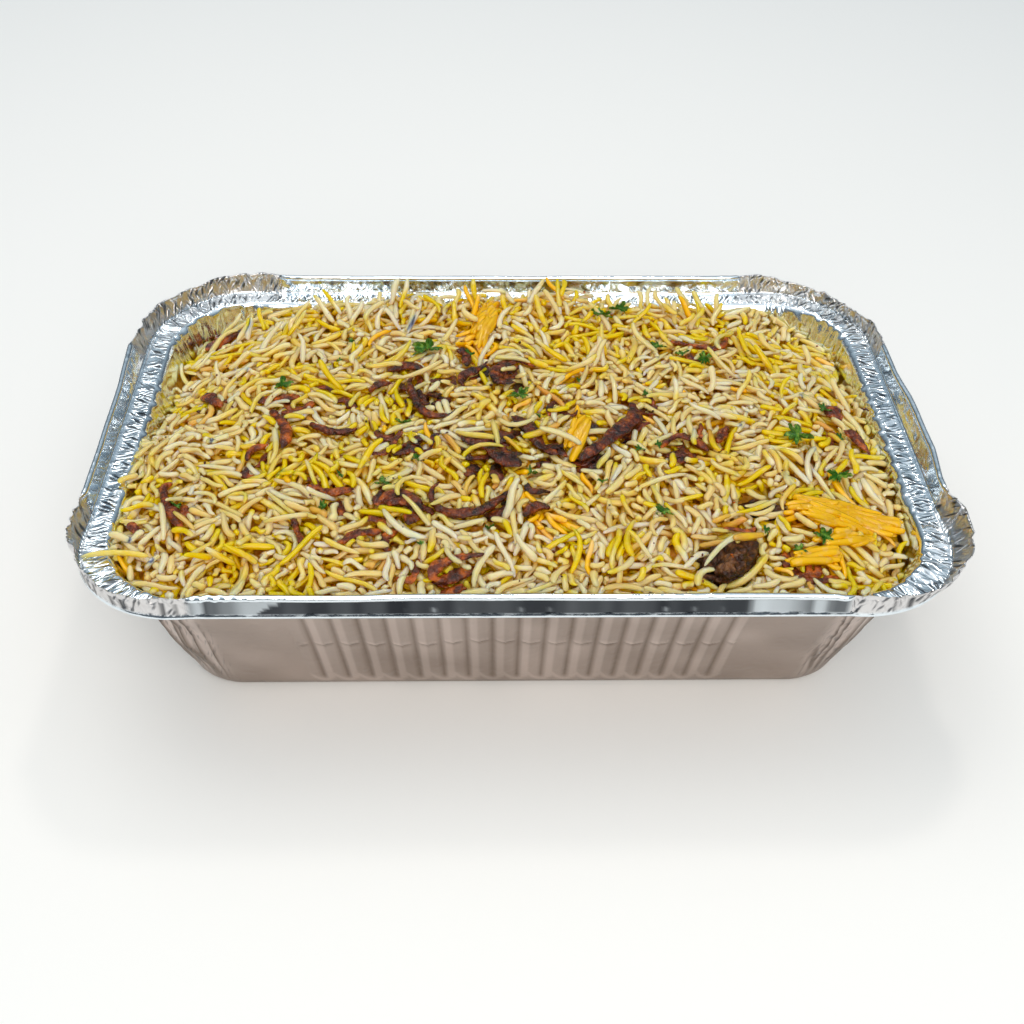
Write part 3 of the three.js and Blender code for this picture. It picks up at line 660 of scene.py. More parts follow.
class MEAL_OT_tray(bpy.types.Operator):
    """Presses the foil tray: floor, fluted wall, creased ledge, flange and rolled hem"""

    bl_idname = "meal.tray"
    bl_label = "Foil Tray"

    def execute(self, context):
        settings = context.scene.meal_tray
        skin = mesh_from_grid("foil_tray", *make_tray_rings(make_stations(), settings))
        finish_piece(link_mesh("foil_tray", skin), foil_material(settings), "foil", "tray")
        return {"FINISHED"}


# ---------------------------------------------------------------- heights in the tray

CELL = 0.5                            # of the square grid that heights are kept on
FIELD_X = np.arange(-104, 104.01, CELL)
FIELD_Y = np.arange(-68, 68.01, CELL)
NOTHING = -1.0
RAY_TOP, RAY_BOTTOM = 0.12, -0.01     # where the rays down and up start, in metres


def height_field(objects, from_below=False):
    """Height in millimetres of the first face met from above, or from below, over the grid."""
    bm = bmesh.new()
    for obj in objects:
        bm.from_mesh(obj.data)
    tree = BVHTree.FromBMesh(bm)
    bm.free()
    start, way = (RAY_BOTTOM, Vector((0, 0, 1))) if from_below else (RAY_TOP, Vector((0, 0, -1)))
    field = np.full((len(FIELD_X), len(FIELD_Y)), NOTHING)
    for i, x in enumerate(FIELD_X * MM):
        for j, y in enumerate(FIELD_Y * MM):
            hit = tree.ray_cast(Vector((x, y, start)), way)[0]
            if hit is not None:
                field[i, j] = hit.z / MM
    return field


def blurred(field, reach):
    """The field with its bumps evened out over a few millimetres, and spread a little past its edge."""
    weight = (field > NOTHING).astype(float)
    total = field * weight
    cells = int(round(reach / CELL))
    for _ in range(3):
        for axis in (0, 1):
            weight = sum(np.roll(weight, k, axis) for k in range(-cells, cells + 1)) / (2 * cells + 1)
            total = sum(np.roll(total, k, axis) for k in range(-cells, cells + 1)) / (2 * cells + 1)
    return np.where(weight > 0.02, total / np.maximum(weight, 0.02), NOTHING)


def cell_at(x, y):
    """Row and column of the grid at places in millimetres."""
    i = np.clip(np.rint((x - FIELD_X[0]) / CELL).astype(int), 0, len(FIELD_X) - 1)
    j = np.clip(np.rint((y - FIELD_Y[0]) / CELL).astype(int), 0, len(FIELD_Y) - 1)
    return i, j


# ---------------------------------------------------------------- rice

SAMPLES = np.linspace(-1, 1, 9)       # places along a grain where it can touch what is below
ACROSS = np.array((-0.75, 0.0, 0.75))
GRAIN_SIDES, GRAIN_RINGS = 6, 8
SCRAP_SIDES, SCRAP_RINGS = 12, 18
STEEPEST = 1.5                        # slope of the steepest grain
PRESSED = 0.4                         # how far soft grains keep apart: 1 is just touching
STUCK = 0.34                          # the same for saffron grains that stick together
BATCH = 500                           # grains dropped at a time
EDGE_GAP = 0.4                        # between the grains and the ledge's inner edge
OVER_BACK = (50, 61.8, 58)            # where grains may hang over the ledge: y from, y to, x either way
UNDER_TOPPINGS = 0.25                 # between the grains and the toppings over them
OPEN = 99.0                           # stands for a ceiling where there is no topping
ON_TOP = 3.2                          # how high grains may stand that are dropped on the heap last
TIPS = 6.5                            # the same for those that jut out
PLAIN, TURMERIC, SAFFRON, ONION = range(4)

# Dyed places on the heap, by dye: x, y, reach in x, reach in y, how sure.
DYED = (
    (SAFFRON, (
        (75, -33.5, 14, 4.4, 0.97), (68, -48, 6, 3, 0.7), (79, -39, 4, 3, 0.7), (-12, 34, 3.5, 7, 0.75),
        (-8, 44, 4, 8, 0.6), (7, -36, 5, 4, 0.7), (15, -10, 3, 6, 0.6), (17, -3, 3, 4, 0.5),
        (3, -20, 3, 5, 0.4), (-55, -24, 4, 3, 0.4), (0, -31, 4, 3, 0.4), (-7, 30, 4, 4, 0.5),
    )),
    (TURMERIC, (
        (71, 3, 6, 3, 0.9), (-57, -19, 9, 4, 0.8), (-82, 10, 6, 4, 0.5), (-77, 32, 8, 4, 0.6),
        (-57, 45, 8, 4, 0.5), (-41, 9, 8, 6, 0.6), (72, -5, 8, 4, 0.6), (-68, -51, 6, 4, 0.6),
        (-54, -54, 7, 4, 0.6), (67, 30, 7, 8, 0.6), (42, -20, 5, 4, 0.5), (51, -24, 6, 3, 0.6),
        (16, -45, 9, 3, 0.6), (26, -56, 7, 3, 0.5), (-31, 6, 5, 4, 0.6), (-49, 14, 8, 4, 0.5),
        (11, 3, 5, 6, 0.5), (86, 12, 4, 8, 0.6), (-50, -42, 4, 6, 0.5), (-39, -45, 3, 7, 0.5),
        (16, 40, 8, 7, 0.5), (75, 14, 8, 5, 0.5), (23, 30, 6, 5, 0.4), (79, -52, 6, 3, 0.6),
        (-87, -24, 5, 6, 0.6), (48, 42, 20, 6, 0.35), (-20, 48, 12, 5, 0.4),
    )),
)
# Where fried onion lies thick: x, y, reach, fragments.
ONION_CLUMPS = (
    (-7, 19, 6, 6), (1, 22, 5, 5), (-26, 13, 6, 4), (-20, 3, 5, 4), (-29, -30, 6, 6), (-24, -34, 5, 5),
    (-12, -20, 8, 8), (-4, -13, 7, 7), (1, -6, 6, 5), (7, -13, 5, 4), (-9, -28, 6, 6), (-22, -13, 6, 4),
    (-33, -9, 5, 3), (20, -15, 5, 5), (26, -6, 6, 6), (32, 3, 4, 3), (40, -14, 6, 5), (-35, -45, 6, 3),
    (-45, -29, 6, 3), (-17, -54, 5, 5), (-62, 7, 5, 3), (51, 30, 7, 4), (84, -3, 6, 4), (-80, 37, 7, 5),
    (-1, -33, 7, 5), (60, -27, 5, 5), (50, -42, 6, 4), (11, 3, 5, 3), (-64, -14, 4, 2), (49, -11, 4, 2),
    (-16, 14, 5, 4), (-55, 4, 4, 2), (-80, -35, 4, 2), (-82, 8, 5, 4), (66, -52, 5, 3), (-44, 10, 4, 2),
)
# Where grains lie side by side: x, y, reach in x, reach in y, heading in degrees.
ALIGNED = ((75, -33.5, 15, 5, -6), (92, -31, 4, 6, 80), (-70, 38, 12, 5, 15), (-8, 42, 4, 8, 70))
# Slabs of stuck saffron grains: x, y, reach in x, reach in y, heading in degrees, grains tried at a time.
SLABS = ((75, -33.5, 13, 3.6, -8, 260), (78, -39.5, 6, 2.4, 20, 60), (66, -47.5, 4, 2.0, 15, 30),
         (-8, 42, 2.4, 7, 70, 60), (15, -9, 2, 4, 62, 16))
# Grains over the left ledge: x, y, heading, length, height of the middle, slope, droop, dye.
SPILLED = (
    (-92.0, -46.8, 0.04, 15.5, 46.1, -0.02, 0.6, 0.22), (-94.7, -20.1, 0.8, 5.5, 45.6, -0.12, 0.1, 0.1),
    (-90.2, -31.0, 0.3, 8.0, 46.0, -0.1, 0.3, 0.4), (-92.0, -41.0, -0.35, 6.0, 45.8, -0.1, 0.2, 0.0),
)


def grain_axis(grains, places):
    """Points along curled grains, seen from above, their runs from the middle and their directions."""
    x, y, heading, length, curl = (grains[name][:, None] for name in ("x", "y", "heading", "length", "curl"))
    angle = curl * places
    run = np.sin(angle) / curl * length / 2
    bow = (1 - np.cos(angle)) / curl * length / 2 - length * curl / 12
    bow = bow + grains["sway"][:, None] * np.sin(np.pi * places)
    cos, sin = np.cos(heading), np.sin(heading)
    return x + run * cos - bow * sin, y + run * sin + bow * cos, run, heading + angle


def grain_radius(grains, places):
    """Half widths along grains, blunt at both ends."""
    blunt = (1 - 0.94 * np.abs(places) ** grains["blunt"][:, None]) ** 0.5
    return grains["width"][:, None] / 2 * blunt * (1 + grains["taper"][:, None] * places)


def settle(field, grains):
    """Lays each grain on what is below it: heights along its axis, with its slope, middle and droop."""
    x, y, run, turn = grain_axis(grains, SAMPLES)
    radius = grain_radius(grains, SAMPLES)
    aside = ACROSS[None, :, None] * radius[:, None, :]
    i, j = cell_at(x[:, None] - aside * np.sin(turn)[:, None], y[:, None] + aside * np.cos(turn)[:, None])
    thick = np.sqrt(radius[:, None, :] ** 2 - aside ** 2) * grains["flat"][:, None, None]
    stuck = (grains["dye"] == SAFFRON) & (grains["amount"] > 0.8)
    need = (field[i, j] + np.where(stuck, STUCK, PRESSED)[:, None, None] * thick).max(1)
    # every pair of a place to the left and one to the right, of which the highest rest wins
    left, right = (side.ravel() for side in np.meshgrid(np.arange(0, 5), np.arange(4, 9), indexing="ij"))
    span = run[:, right] - run[:, left]
    slope = (need[:, right] - need[:, left]) / np.where(span > 0, span, 1e9)
    middle = np.where(span > 0, need[:, left] - slope * run[:, left], -1e9)
    best = np.argmax(middle, 1)[:, None]
    tilt = np.clip(np.take_along_axis(slope, best, 1)[:, 0] + grains["lift"], -STEEPEST, STEEPEST)
    line = tilt[:, None] * run
    line = line + (need - line).max(1, keepdims=True)
    far = np.abs(SAMPLES) > 0.4
    droop = np.minimum(((line - need)[:, far] / SAMPLES[far] ** 2).min(1), grains["limp"])
    return x, y, line - droop[:, None] * SAMPLES ** 2, radius, tilt, line[:, 4], droop


def stamp(field, x, y, top, radius, flat, touched):
    """Raises the field to the top of one grain, and notes where it lies."""
    fine = np.linspace(0, len(x) - 1, 25)
    whole = np.arange(len(x))
    x, y, top, radius = (np.interp(fine, whole, values)[:, None, None] for values in (x, y, top, radius))
    steps = np.arange(-3, 4)
    i, j = cell_at(x, y)
    i = np.clip(i + steps[None, :, None], 0, len(FIELD_X) - 1)
    j = np.clip(j + steps[None, None, :], 0, len(FIELD_Y) - 1)
    bulge = np.sqrt(np.maximum(radius ** 2 - ((FIELD_X[i] - x) ** 2 + (FIELD_Y[j] - y) ** 2), 0)) * flat
    np.maximum.at(field, (i, j), np.where(bulge > 0, top + bulge, NOTHING))
    touched[i, j] |= bulge > 0


def within(x, y, middle_x, middle_y, reach_x, reach_y):
    """Which places lie within an ellipse."""
    return ((x - middle_x) / reach_x) ** 2 + ((y - middle_y) / reach_y) ** 2 < 1


def dye_at(x, y, rng):
    """Kind of dye that each grain has taken up, and how much of it."""
    count = len(x)
    draw = rng.random(count)
    yellow = 0.36 + 0.28 * flat_noise(x, y, 15, 90, 46) + 0.12 * (y > 20)
    dye = np.select([draw < 0.01, draw < yellow], [SAFFRON, TURMERIC], PLAIN)
    amount = np.select(
        [draw < 0.01, draw < yellow ** 2 / 2, draw < yellow],
        [rng.uniform(0.6, 1.0, count), rng.uniform(0.7, 1.0, count), rng.uniform(0.1, 0.5, count)],
        rng.uniform(0.0, 0.1, count),
    )
    for kind, places in DYED:
        for px, py, reach_x, reach_y, sure in places:
            close = within(x, y, px, py, reach_x, reach_y) & (rng.random(count) < sure)
            dye = np.where(close, kind, dye)
            amount = np.where(close, rng.uniform(0.85, 1.0, count), amount)
    return dye, amount


def heading_at(x, y, rng):
    """Which way each grain points: with the grains round it, but for every third or so."""
    count = len(x)
    astray = np.where(rng.random(count) < 0.68, rng.normal(0, 0.22, count), rng.normal(0, 1.2, count))
    heading = 3.4 * smooth_noise(x / 13 + 19, y / 13 + 15, 41) + astray
    for px, py, reach_x, reach_y, along in ALIGNED:
        close = within(x, y, px, py, reach_x, reach_y)
        heading = np.where(close, math.radians(along) + rng.normal(0, 0.15, count), heading)
    return heading


def tone_at(x, y, rng):
    """How golden each grain is: 0 to 0.8 anywhere, up to 1 where the onion's oil has run over it."""
    tone = rng.uniform(0, 0.8, len(x))
    for px, py, reach, _ in ONION_CLUMPS:
        oiled = ((x - px) ** 2 + (y - py) ** 2 < (1.1 * reach) ** 2) & (rng.random(len(x)) < 0.22)
        tone = np.where(oiled, rng.uniform(0.8, 1.0, len(x)), tone)
    return tone


def some_curl(amount):
    """The curl, never so little that an arc can't be drawn with it."""
    return np.where(np.abs(amount) < 0.02, 0.02, amount)


def draw_grains(x, y, settings, rng):
    """Grains at places: lengths and widths in millimetres, angles in radians, the rest as shares."""
    count = len(x)
    dye, amount = dye_at(x, y, rng)
    curl = np.where(
        rng.random(count) < 0.92, np.abs(rng.normal(0, 0.38, count)), rng.uniform(0.8, 1.6, count),
    )
    way = np.sign(flat_noise(x, y, 11, 70, 43) + rng.normal(0, 0.25, count))
    cut = np.where(rng.random(count) < 0.3, rng.uniform(0.4, 0.75, count), 1.0)
    jut = (rng.random(count) < 0.42) * rng.uniform(-1.1, 1.1, count) + 0.4 * flat_noise(x, y, 7, 40, 44)
    return {
        "x": x, "y": y, "heading": heading_at(x, y, rng), "curl": some_curl(curl * way),
        "length": settings.grain_length / MM * rng.uniform(0.72, 1.16, count) * cut,
        "width": settings.grain_width / MM * rng.uniform(0.82, 1.2, count),
        "taper": rng.uniform(-0.3, 0.3, count), "lift": rng.normal(0, 0.08, count) + jut,
        "limp": rng.uniform(0.2, 1.6, count), "flat": rng.uniform(0.62, 0.95, count),
        "sway": rng.normal(0, 0.3, count), "blunt": rng.uniform(3.0, 8.0, count),
        "dye": dye, "amount": amount, "tone": tone_at(x, y, rng), "chance": rng.random((count, 4)),
    }


def draw_scraps(x, y, rng):
    """Torn scraps of fried onion: broad, thin and curled."""
    count = len(x)
    return {
        "x": x, "y": y, "heading": rng.uniform(0, math.pi, count),
        "curl": rng.uniform(0.2, 1.2, count) * rng.choice((-1, 1), count),
        "length": rng.uniform(4.5, 11, count), "width": rng.uniform(1.2, 3.4, count),
        "taper": rng.uniform(-0.4, 0.4, count), "lift": rng.normal(0, 0.2, count),
        "limp": rng.uniform(0, 1.5, count), "flat": rng.uniform(0.25, 0.45, count),
        "sway": rng.normal(0, 0.8, count), "blunt": np.full(count, 3.0),
        "dye": np.full(count, ONION), "amount": rng.random(count), "tone": rng.random(count),
        "chance": rng.random((count, 4)),
    }


def may_lie(x, y):
    """Which grains keep inside the ledge, or hang over it only in the middle of the back."""
    length, width, radius = OPENING
    half_x, half_y = length / 2 - EDGE_GAP, width / 2 - EDGE_GAP
    u, v = np.abs(x - TRAY_MIDDLE[0]), np.abs(y - TRAY_MIDDLE[1])
    corner = np.hypot(np.maximum(u - half_x + radius, 0), np.maximum(v - half_y + radius, 0)) > radius
    start, end, half = OVER_BACK
    over_back = (y > start) & (y < end) & (np.abs(x) < half)
    return ~(((u > half_x) | (v > half_y) | corner) & ~over_back).any(1)


class Heap:
    """Grains dropped one after another in the tray, and how high they have filled it."""

    def __init__(self, floor, settings):
        """An empty tray, with the height of its packed core."""
        self.floor = floor
        self.settings = settings
        self.rng = np.random.default_rng(settings.seed)
        self.kept = []

    def draw(self, x, y):
        """New grains at places."""
        return draw_grains(x, y, self.settings, self.rng)

    def spots(self, where, count):
        """Places drawn from a chosen part of the grid."""
        cells = np.argwhere(where)
        i, j = cells[self.rng.choice(len(cells), count)].T
        return FIELD_X[i], FIELD_Y[j]

    def place(self, grains, ceiling, share=1.0, any_order=False):
        """Keeps those that come to rest under the ceiling and clear of each other, the lowest first."""
        x, y, heights, radius, tilt, middle, droop = settle(self.floor, grains)
        i, j = cell_at(x, y)
        room = (ceiling[i, j] - heights - radius * 0.9 * grains["flat"][:, None]).min(1)
        good = np.flatnonzero(may_lie(x, y) & (room >= 0) & (heights.min(1) > 1))
        rank = grains["tone"][good] if any_order else -room[good]
        order = good[np.argsort(rank)][:math.ceil(share * len(good))]
        touched = np.zeros(self.floor.shape, bool)
        for n in order:
            if touched[i[n], j[n]].any():
                continue
            stamp(self.floor, x[n], y[n], heights[n], radius[n], grains["flat"][n], touched)
            resting = {"z": middle[n], "tilt": tilt[n], "droop": droop[n]}
            self.kept.append({**{name: values[n] for name, values in grains.items()}, **resting})

    def fill(self, target, ceiling, inside, rounds, short=1.0):
        """Drops grains where the heap is lowest under its target, shorter ones as the gaps get smaller."""
        for turn in range(rounds):
            want = np.where(inside, np.clip(np.minimum(target, ceiling) - self.floor - 0.3, 0, 4), 0) ** 1.3
            if (want > 0).sum() < 0.01 * inside.sum():
                break
            cells = self.rng.choice(want.size, BATCH, p=(want / want.sum()).ravel())
            i, j = np.unravel_index(cells, want.shape)
            x = FIELD_X[i] + self.rng.uniform(-0.3, 0.3, BATCH)
            grains = self.draw(x, FIELD_Y[j] + self.rng.uniform(-0.3, 0.3, BATCH))
            grains["length"] = grains["length"] * short * (1 - 0.5 * self.rng.random(BATCH) * turn / rounds)
            self.place(grains, ceiling, 0.5)

    def stand_up(self, ceiling, inside, rounds=6, count=700):
        """Stands grains steeply in the heap, so that many are seen end on once the rest is filled in."""
        rng = self.rng
        for _ in range(rounds):
            steep = self.draw(*self.spots(inside, count))
            steep["lift"] = rng.uniform(0.6, 1.5, count) * rng.choice((-1, 1), count)
            steep["heading"] = steep["heading"] + rng.normal(0, 0.5, count)
            steep["length"] = rng.uniform(6, 11, count)
            self.place(steep, ceiling, 0.7)

    def scatter_onion(self, ceiling):
        """Drops scraps of onion where it lies thick."""
        for x, y, reach, count in ONION_CLUMPS:
            off_x, off_y = self.rng.normal(0, reach / 2, (2, count * 3))
            self.place(draw_scraps(x + off_x, y + off_y, self.rng), ceiling, 0.6)

    def stick_together(self, target):
        """Lays slabs of broad saffron grains, close together, on top of the heap."""
        rng = self.rng
        for x, y, reach_x, reach_y, along, count in SLABS:
            for _ in range(8):
                away = np.sqrt(rng.random(count))
                turn = rng.uniform(0, 2 * math.pi, count)
                grains = self.draw(x + reach_x * away * np.cos(turn), y + reach_y * away * np.sin(turn))
                grains.update(
                    dye=np.full(count, SAFFRON), amount=np.full(count, 1.4),
                    curl=some_curl(rng.normal(0, 0.15, count)),
                    heading=math.radians(along) + rng.normal(0, 0.12, count),
                    lift=rng.normal(0, 0.05, count),
                )
                grains["width"] = grains["width"] * 1.25
                self.place(grains, target + ON_TOP, 0.8)

    def jut_out(self, target, free):
        """Stands some grains up out of the heap: many along the middle of the back, a few all over."""
        rng = self.rng
        back = free & (np.abs(FIELD_X)[:, None] < 62) & (FIELD_Y[None, :] > 40)
        towards_back = free & (FIELD_Y[None, :] > 10)
        for where, count, share, headings in (
            (back, 300, 0.8, (0.7, 2.4)), (back, 300, 0.8, (0.7, 2.4)), (towards_back, 500, 0.5, (0.6, 2.5)),
            (free, 500, 0.6, (-3.1, 3.1)),
        ):
            tips = self.draw(*self.spots(where, count))
            tips["heading"] = rng.uniform(*headings, count)
            tips["curl"] = some_curl(rng.normal(0, 0.3, count))
            tips["lift"] = rng.uniform(0.5, 1.5, count)
            tips["limp"] = rng.uniform(0, 0.5, count)
            tips["length"] = rng.uniform(6, 11, count)
            self.place(tips, target + TIPS, share, any_order=True)

    def cover(self, where, ceiling, rounds, count):
        """Drops limp grains over the toppings."""
        for _ in range(rounds):
            covers = self.draw(*self.spots(where, count))
            covers["limp"] = covers["limp"] + 1.5
            self.place(covers, ceiling, 0.6)

    def spill(self):
        """Lays the few grains that hang out over the ledge on the left."""
        x, y, heading, length, z, tilt, droop, amount = np.array(SPILLED).T
        grains = self.draw(x, y)
        grains.update(heading=heading, length=length, z=z, tilt=tilt, droop=droop, amount=amount,
                      curl=np.full(len(x), -0.2), dye=np.where(amount > 0, TURMERIC, PLAIN))
        self.kept.extend({name: values[n] for name, values in grains.items()} for n in range(len(x)))

    def grains(self):
        """All grains kept, as one array for each of their values."""
        return {name: np.array([grain[name] for grain in self.kept]) for name in self.kept[0]}


def heap_bumps():
    """The heap's own small rises and hollows, in millimetres."""
    x, y = FIELD_X[:, None], FIELD_Y[None, :]
    return 1.1 * flat_noise(x, y, 9, 60, 47) + 0.6 * flat_noise(x, y, 4, 60, 48) - 0.3


def heap_grains(floor, target, under, toppings, meat, settings):
    """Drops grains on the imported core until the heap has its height, then some over the toppings."""
    heap = Heap(floor, settings)
    inside = target > NOTHING
    banked = blurred(np.where(meat > NOTHING, np.maximum(meat - 0.6, target), target), 2.5)
    target = np.where(inside, np.maximum(target, banked) + heap_bumps(), target)
    below_toppings = np.where(under > NOTHING, under - UNDER_TOPPINGS, OPEN)

    def up_to(height):
        """The ceiling at a height over the heap, but no higher than the toppings' undersides."""
        return np.minimum(target + height, below_toppings)

    heap.fill(target - 2.6, up_to(-0.8), inside, 50)
    heap.stand_up(up_to(3.0), inside)
    heap.fill(target - 1.4, up_to(0.6), inside, 60)
    heap.scatter_onion(up_to(1.6))
    heap.fill(target, up_to(1.9), inside, 120)
    heap.fill(target - 0.4, up_to(1.2), inside, 60, 0.55)
    heap.fill(target - 0.9, up_to(1.6), inside, 100, 0.42)
    heap.stick_together(np.minimum(target, below_toppings - 2.4))
    heap.jut_out(target, inside & (under == NOTHING))
    np.maximum(heap.floor, toppings, out=heap.floor)
    near = blurred(np.where(toppings > target - 1, 1.0, 0.0), 1.5)
    over = np.maximum(target, toppings) + ON_TOP
    heap.cover((near > 0.12) & (near < 0.95) & inside, over, 3, 200)
    heap.cover(meat > target - 2, over, 5, 300)
    heap.spill()
    return heap.grains(), heap.floor


def template(bm):
    """A small shape to copy many times: its points, and its faces as rows of points."""
    bmesh.ops.recalc_face_normals(bm, faces=bm.faces)
    points = np.array([v.co[:] for v in bm.verts])
    # sorted, since a new sphere lists its faces in another order each time
    loops = sorted([v.index for v in face.verts] for face in bm.faces)
    bm.free()
    return points, loops


def grain_skins(grains, sides, rings):
    """The skins of grains in millimetres, how much dye each point has taken, and the faces of one."""
    bm = bmesh.new()
    bmesh.ops.create_uvsphere(bm, u_segments=sides, v_segments=rings, radius=1.0)
    egg, loops = template(bm)
    along, angle = egg[:, 2], np.arctan2(egg[:, 1], egg[:, 0])
    off_pole = np.hypot(egg[:, 0], egg[:, 1]) > 1e-4
    x, y, run, turn = grain_axis(grains, along)
    chance = grains["chance"][:, :, None]
    lumps = 1 + 0.08 * np.cos(angle * 2 + 6 * chance[:, 0]) + 0.07 * np.sin(along * 5 + 6 * chance[:, 1])
    radius = np.where(off_pole, grain_radius(grains, along), 0) * lumps
    tilt = grains["tilt"][:, None]
    z = grains["z"][:, None] + tilt * run - grains["droop"][:, None] * along ** 2
    aside = radius * np.cos(angle)
    above = radius * np.sin(angle) * grains["flat"][:, None]
    slope = np.arctan(tilt)
    push = -above * np.sin(slope)
    points = np.stack([
        x - aside * np.sin(turn) + push * np.cos(turn),
        y + aside * np.cos(turn) + push * np.sin(turn),
        z + above * np.cos(slope),
    ], -1)
    amount = grains["amount"][:, None]
    start = 2.2 * chance[:, 2] - 1.1
    patch = smoothstep(along * np.where(chance[:, 3] < 0.5, -1, 1), start - 0.6, start + 0.6)
    stain = np.clip(np.where(amount > 0.6, amount * (0.75 + 0.5 * patch), 2.2 * amount * patch), 0, 1)
    return points, stain, loops


def joined_piece(name, points, loops, colours=None):
    """One piece of many copies of a template's faces over rows of points."""
    count, verts = points.shape[:2]
    sizes = np.array([len(loop) for loop in loops])
    flat = np.concatenate([np.array(loop) for loop in loops])
    index = (flat[None, :] + verts * np.arange(count)[:, None]).ravel()
    sizes = np.tile(sizes, count)
    mesh = bpy.data.meshes.new(name)
    mesh.vertices.add(count * verts)
    mesh.vertices.foreach_set("co", (points * MM).ravel())
    mesh.loops.add(len(index))
    mesh.loops.foreach_set("vertex_index", index)
    mesh.polygons.add(len(sizes))
    mesh.polygons.foreach_set("loop_start", np.cumsum(sizes) - sizes)
    smooth_faces(mesh)
    mesh.update(calc_edges=True)
    mesh.validate()
    if colours is not None:
        mesh.color_attributes.new("dye", "FLOAT_COLOR", "POINT").data.foreach_set("color", colours.ravel())
    return link_mesh(name, mesh)


def rice_material(name, dyed, clear):
    """Steamed basmati: waxy and moist, with light let in under the skin."""
    material, tree, coords = new_material(name)
    dye = add_node(tree, "Attribute", attribute_name="dye").outputs["Color"]
    stain, tone, depth = add_node(tree, "SeparateColor", {"Color": dye}).outputs
    # grains differ a little from chalky to golden
    tones = ((0.0, "#FFE5BF"), (0.4, "#FDD6A0"), (0.75, "#FACA8A"), (0.88, "#ECB25E"), (1.0, "#CE8A3A"))
    plain = ramp(tree, tone, [(place, linear(shade)) for place, shade in tones])
    # dye runs unevenly over a grain, in patches of about 2 mm
    runs = ranged(tree, noise(tree, coords, 450.0, 2.0), 0.32, 0.66, 0.8, 1.5)
    stained = blend(tree, reckon(tree, "MULTIPLY", stain, runs, use_clamp=True), plain, dyed)
    # painted shade: the deeper a grain lies below the heap's top, the more it turns a warm amber, as rice
    # does in shade between the grains
    oily = blend(tree, depth, stained, linear("#FFB200"))
    skin = bump(tree, noise(tree, coords, 1600.0, 2.0), 0.3, 0.0002)
    return surface(material, {
        "Base Color": oily, "Roughness": 0.15, "Normal": skin,
        "Subsurface Weight": clear, "Subsurface Scale": 0.0034, "Subsurface Radius": (1.0, 0.78, 0.32),
        "Specular IOR Level": 0.4,
    })


def packed_material(settings):
    """Steamed rice packed tight, in the painted amber shade of rice between the grains: each grain a small
    bump.
    """
    material, tree, coords = new_material("steamed rice, in shade between the grains")
    # painted shade of rice between the grains, warmer and paler in spots of some 3 mm
    shade = blend(tree, noise(tree, coords, 300.0, 3.0), settings.core, linear("#F2BC3A"))
    packed = add_node(tree, "TexVoronoi", {"Vector": coords, "Scale": 450.0}).outputs["Distance"]
    skin = bump(tree, packed, 1.0, 0.002)
    return surface(material, {"Base Color": shade, "Roughness": 0.4, "Normal": skin})


CORE_GAP = 1.8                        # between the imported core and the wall's plain outline
CORE_ROWS = 64


class MEAL_OT_packed_rice(bpy.types.Operator):
    """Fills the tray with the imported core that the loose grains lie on"""

    bl_idname = "meal.packed_rice"
    bl_label = "Packed Rice"

    def execute(self, context):
        settings = context.scene.meal_rice
        depth = settings.heap_depth / MM
        target = blurred(height_field([NODES["rice_heap"]]), 2.0)
        st = make_stations()
        foot_x, foot_y = outline(st, wall_outline(0), -CORE_GAP)
        top_x, top_y = outline(st, wall_outline(LEDGE_Z), -CORE_GAP)
        climb = (target[cell_at(top_x * 0.97, top_y * 0.96)] - depth) / LEDGE_Z
        edge_x, edge_y = foot_x + (top_x - foot_x) * climb, foot_y + (top_y - foot_y) * climb
        rows = []
        for share in np.linspace(0, 1, CORE_ROWS):
            x, y = edge_x * share + TRAY_MIDDLE[0], edge_y * share + TRAY_MIDDLE[1]
            lumps = 1.2 * flat_noise(x, y, 5, 30, 51) + 0.5 * flat_noise(x, y, 2, 30, 52)
            rows.append(np.stack([x, y, target[cell_at(x, y)] - depth + lumps], 1))
        edge = rows[-1][:, 2]
        for share in (0.85, 0.6, 0.3, 0.03):
            x, y = foot_x + (edge_x - foot_x) * share, foot_y + (edge_y - foot_y) * share
            rows.append(np.stack([x + TRAY_MIDDLE[0], y + TRAY_MIDDLE[1], edge * share], 1))
        rows.append(np.tile([*TRAY_MIDDLE, 1.0], (len(st.arc), 1)))
        core = link_mesh("packed_rice", mesh_from_grid("packed_rice", closed(rows)))
        finish_piece(core, packed_material(settings), "rice", "rice_heap")
        return {"FINISHED"}


LOOSE_PIECES = ("plain_rice", "oiled_rice", "stained_rice", "turmeric_rice", "saffron_rice", "onion_scraps")


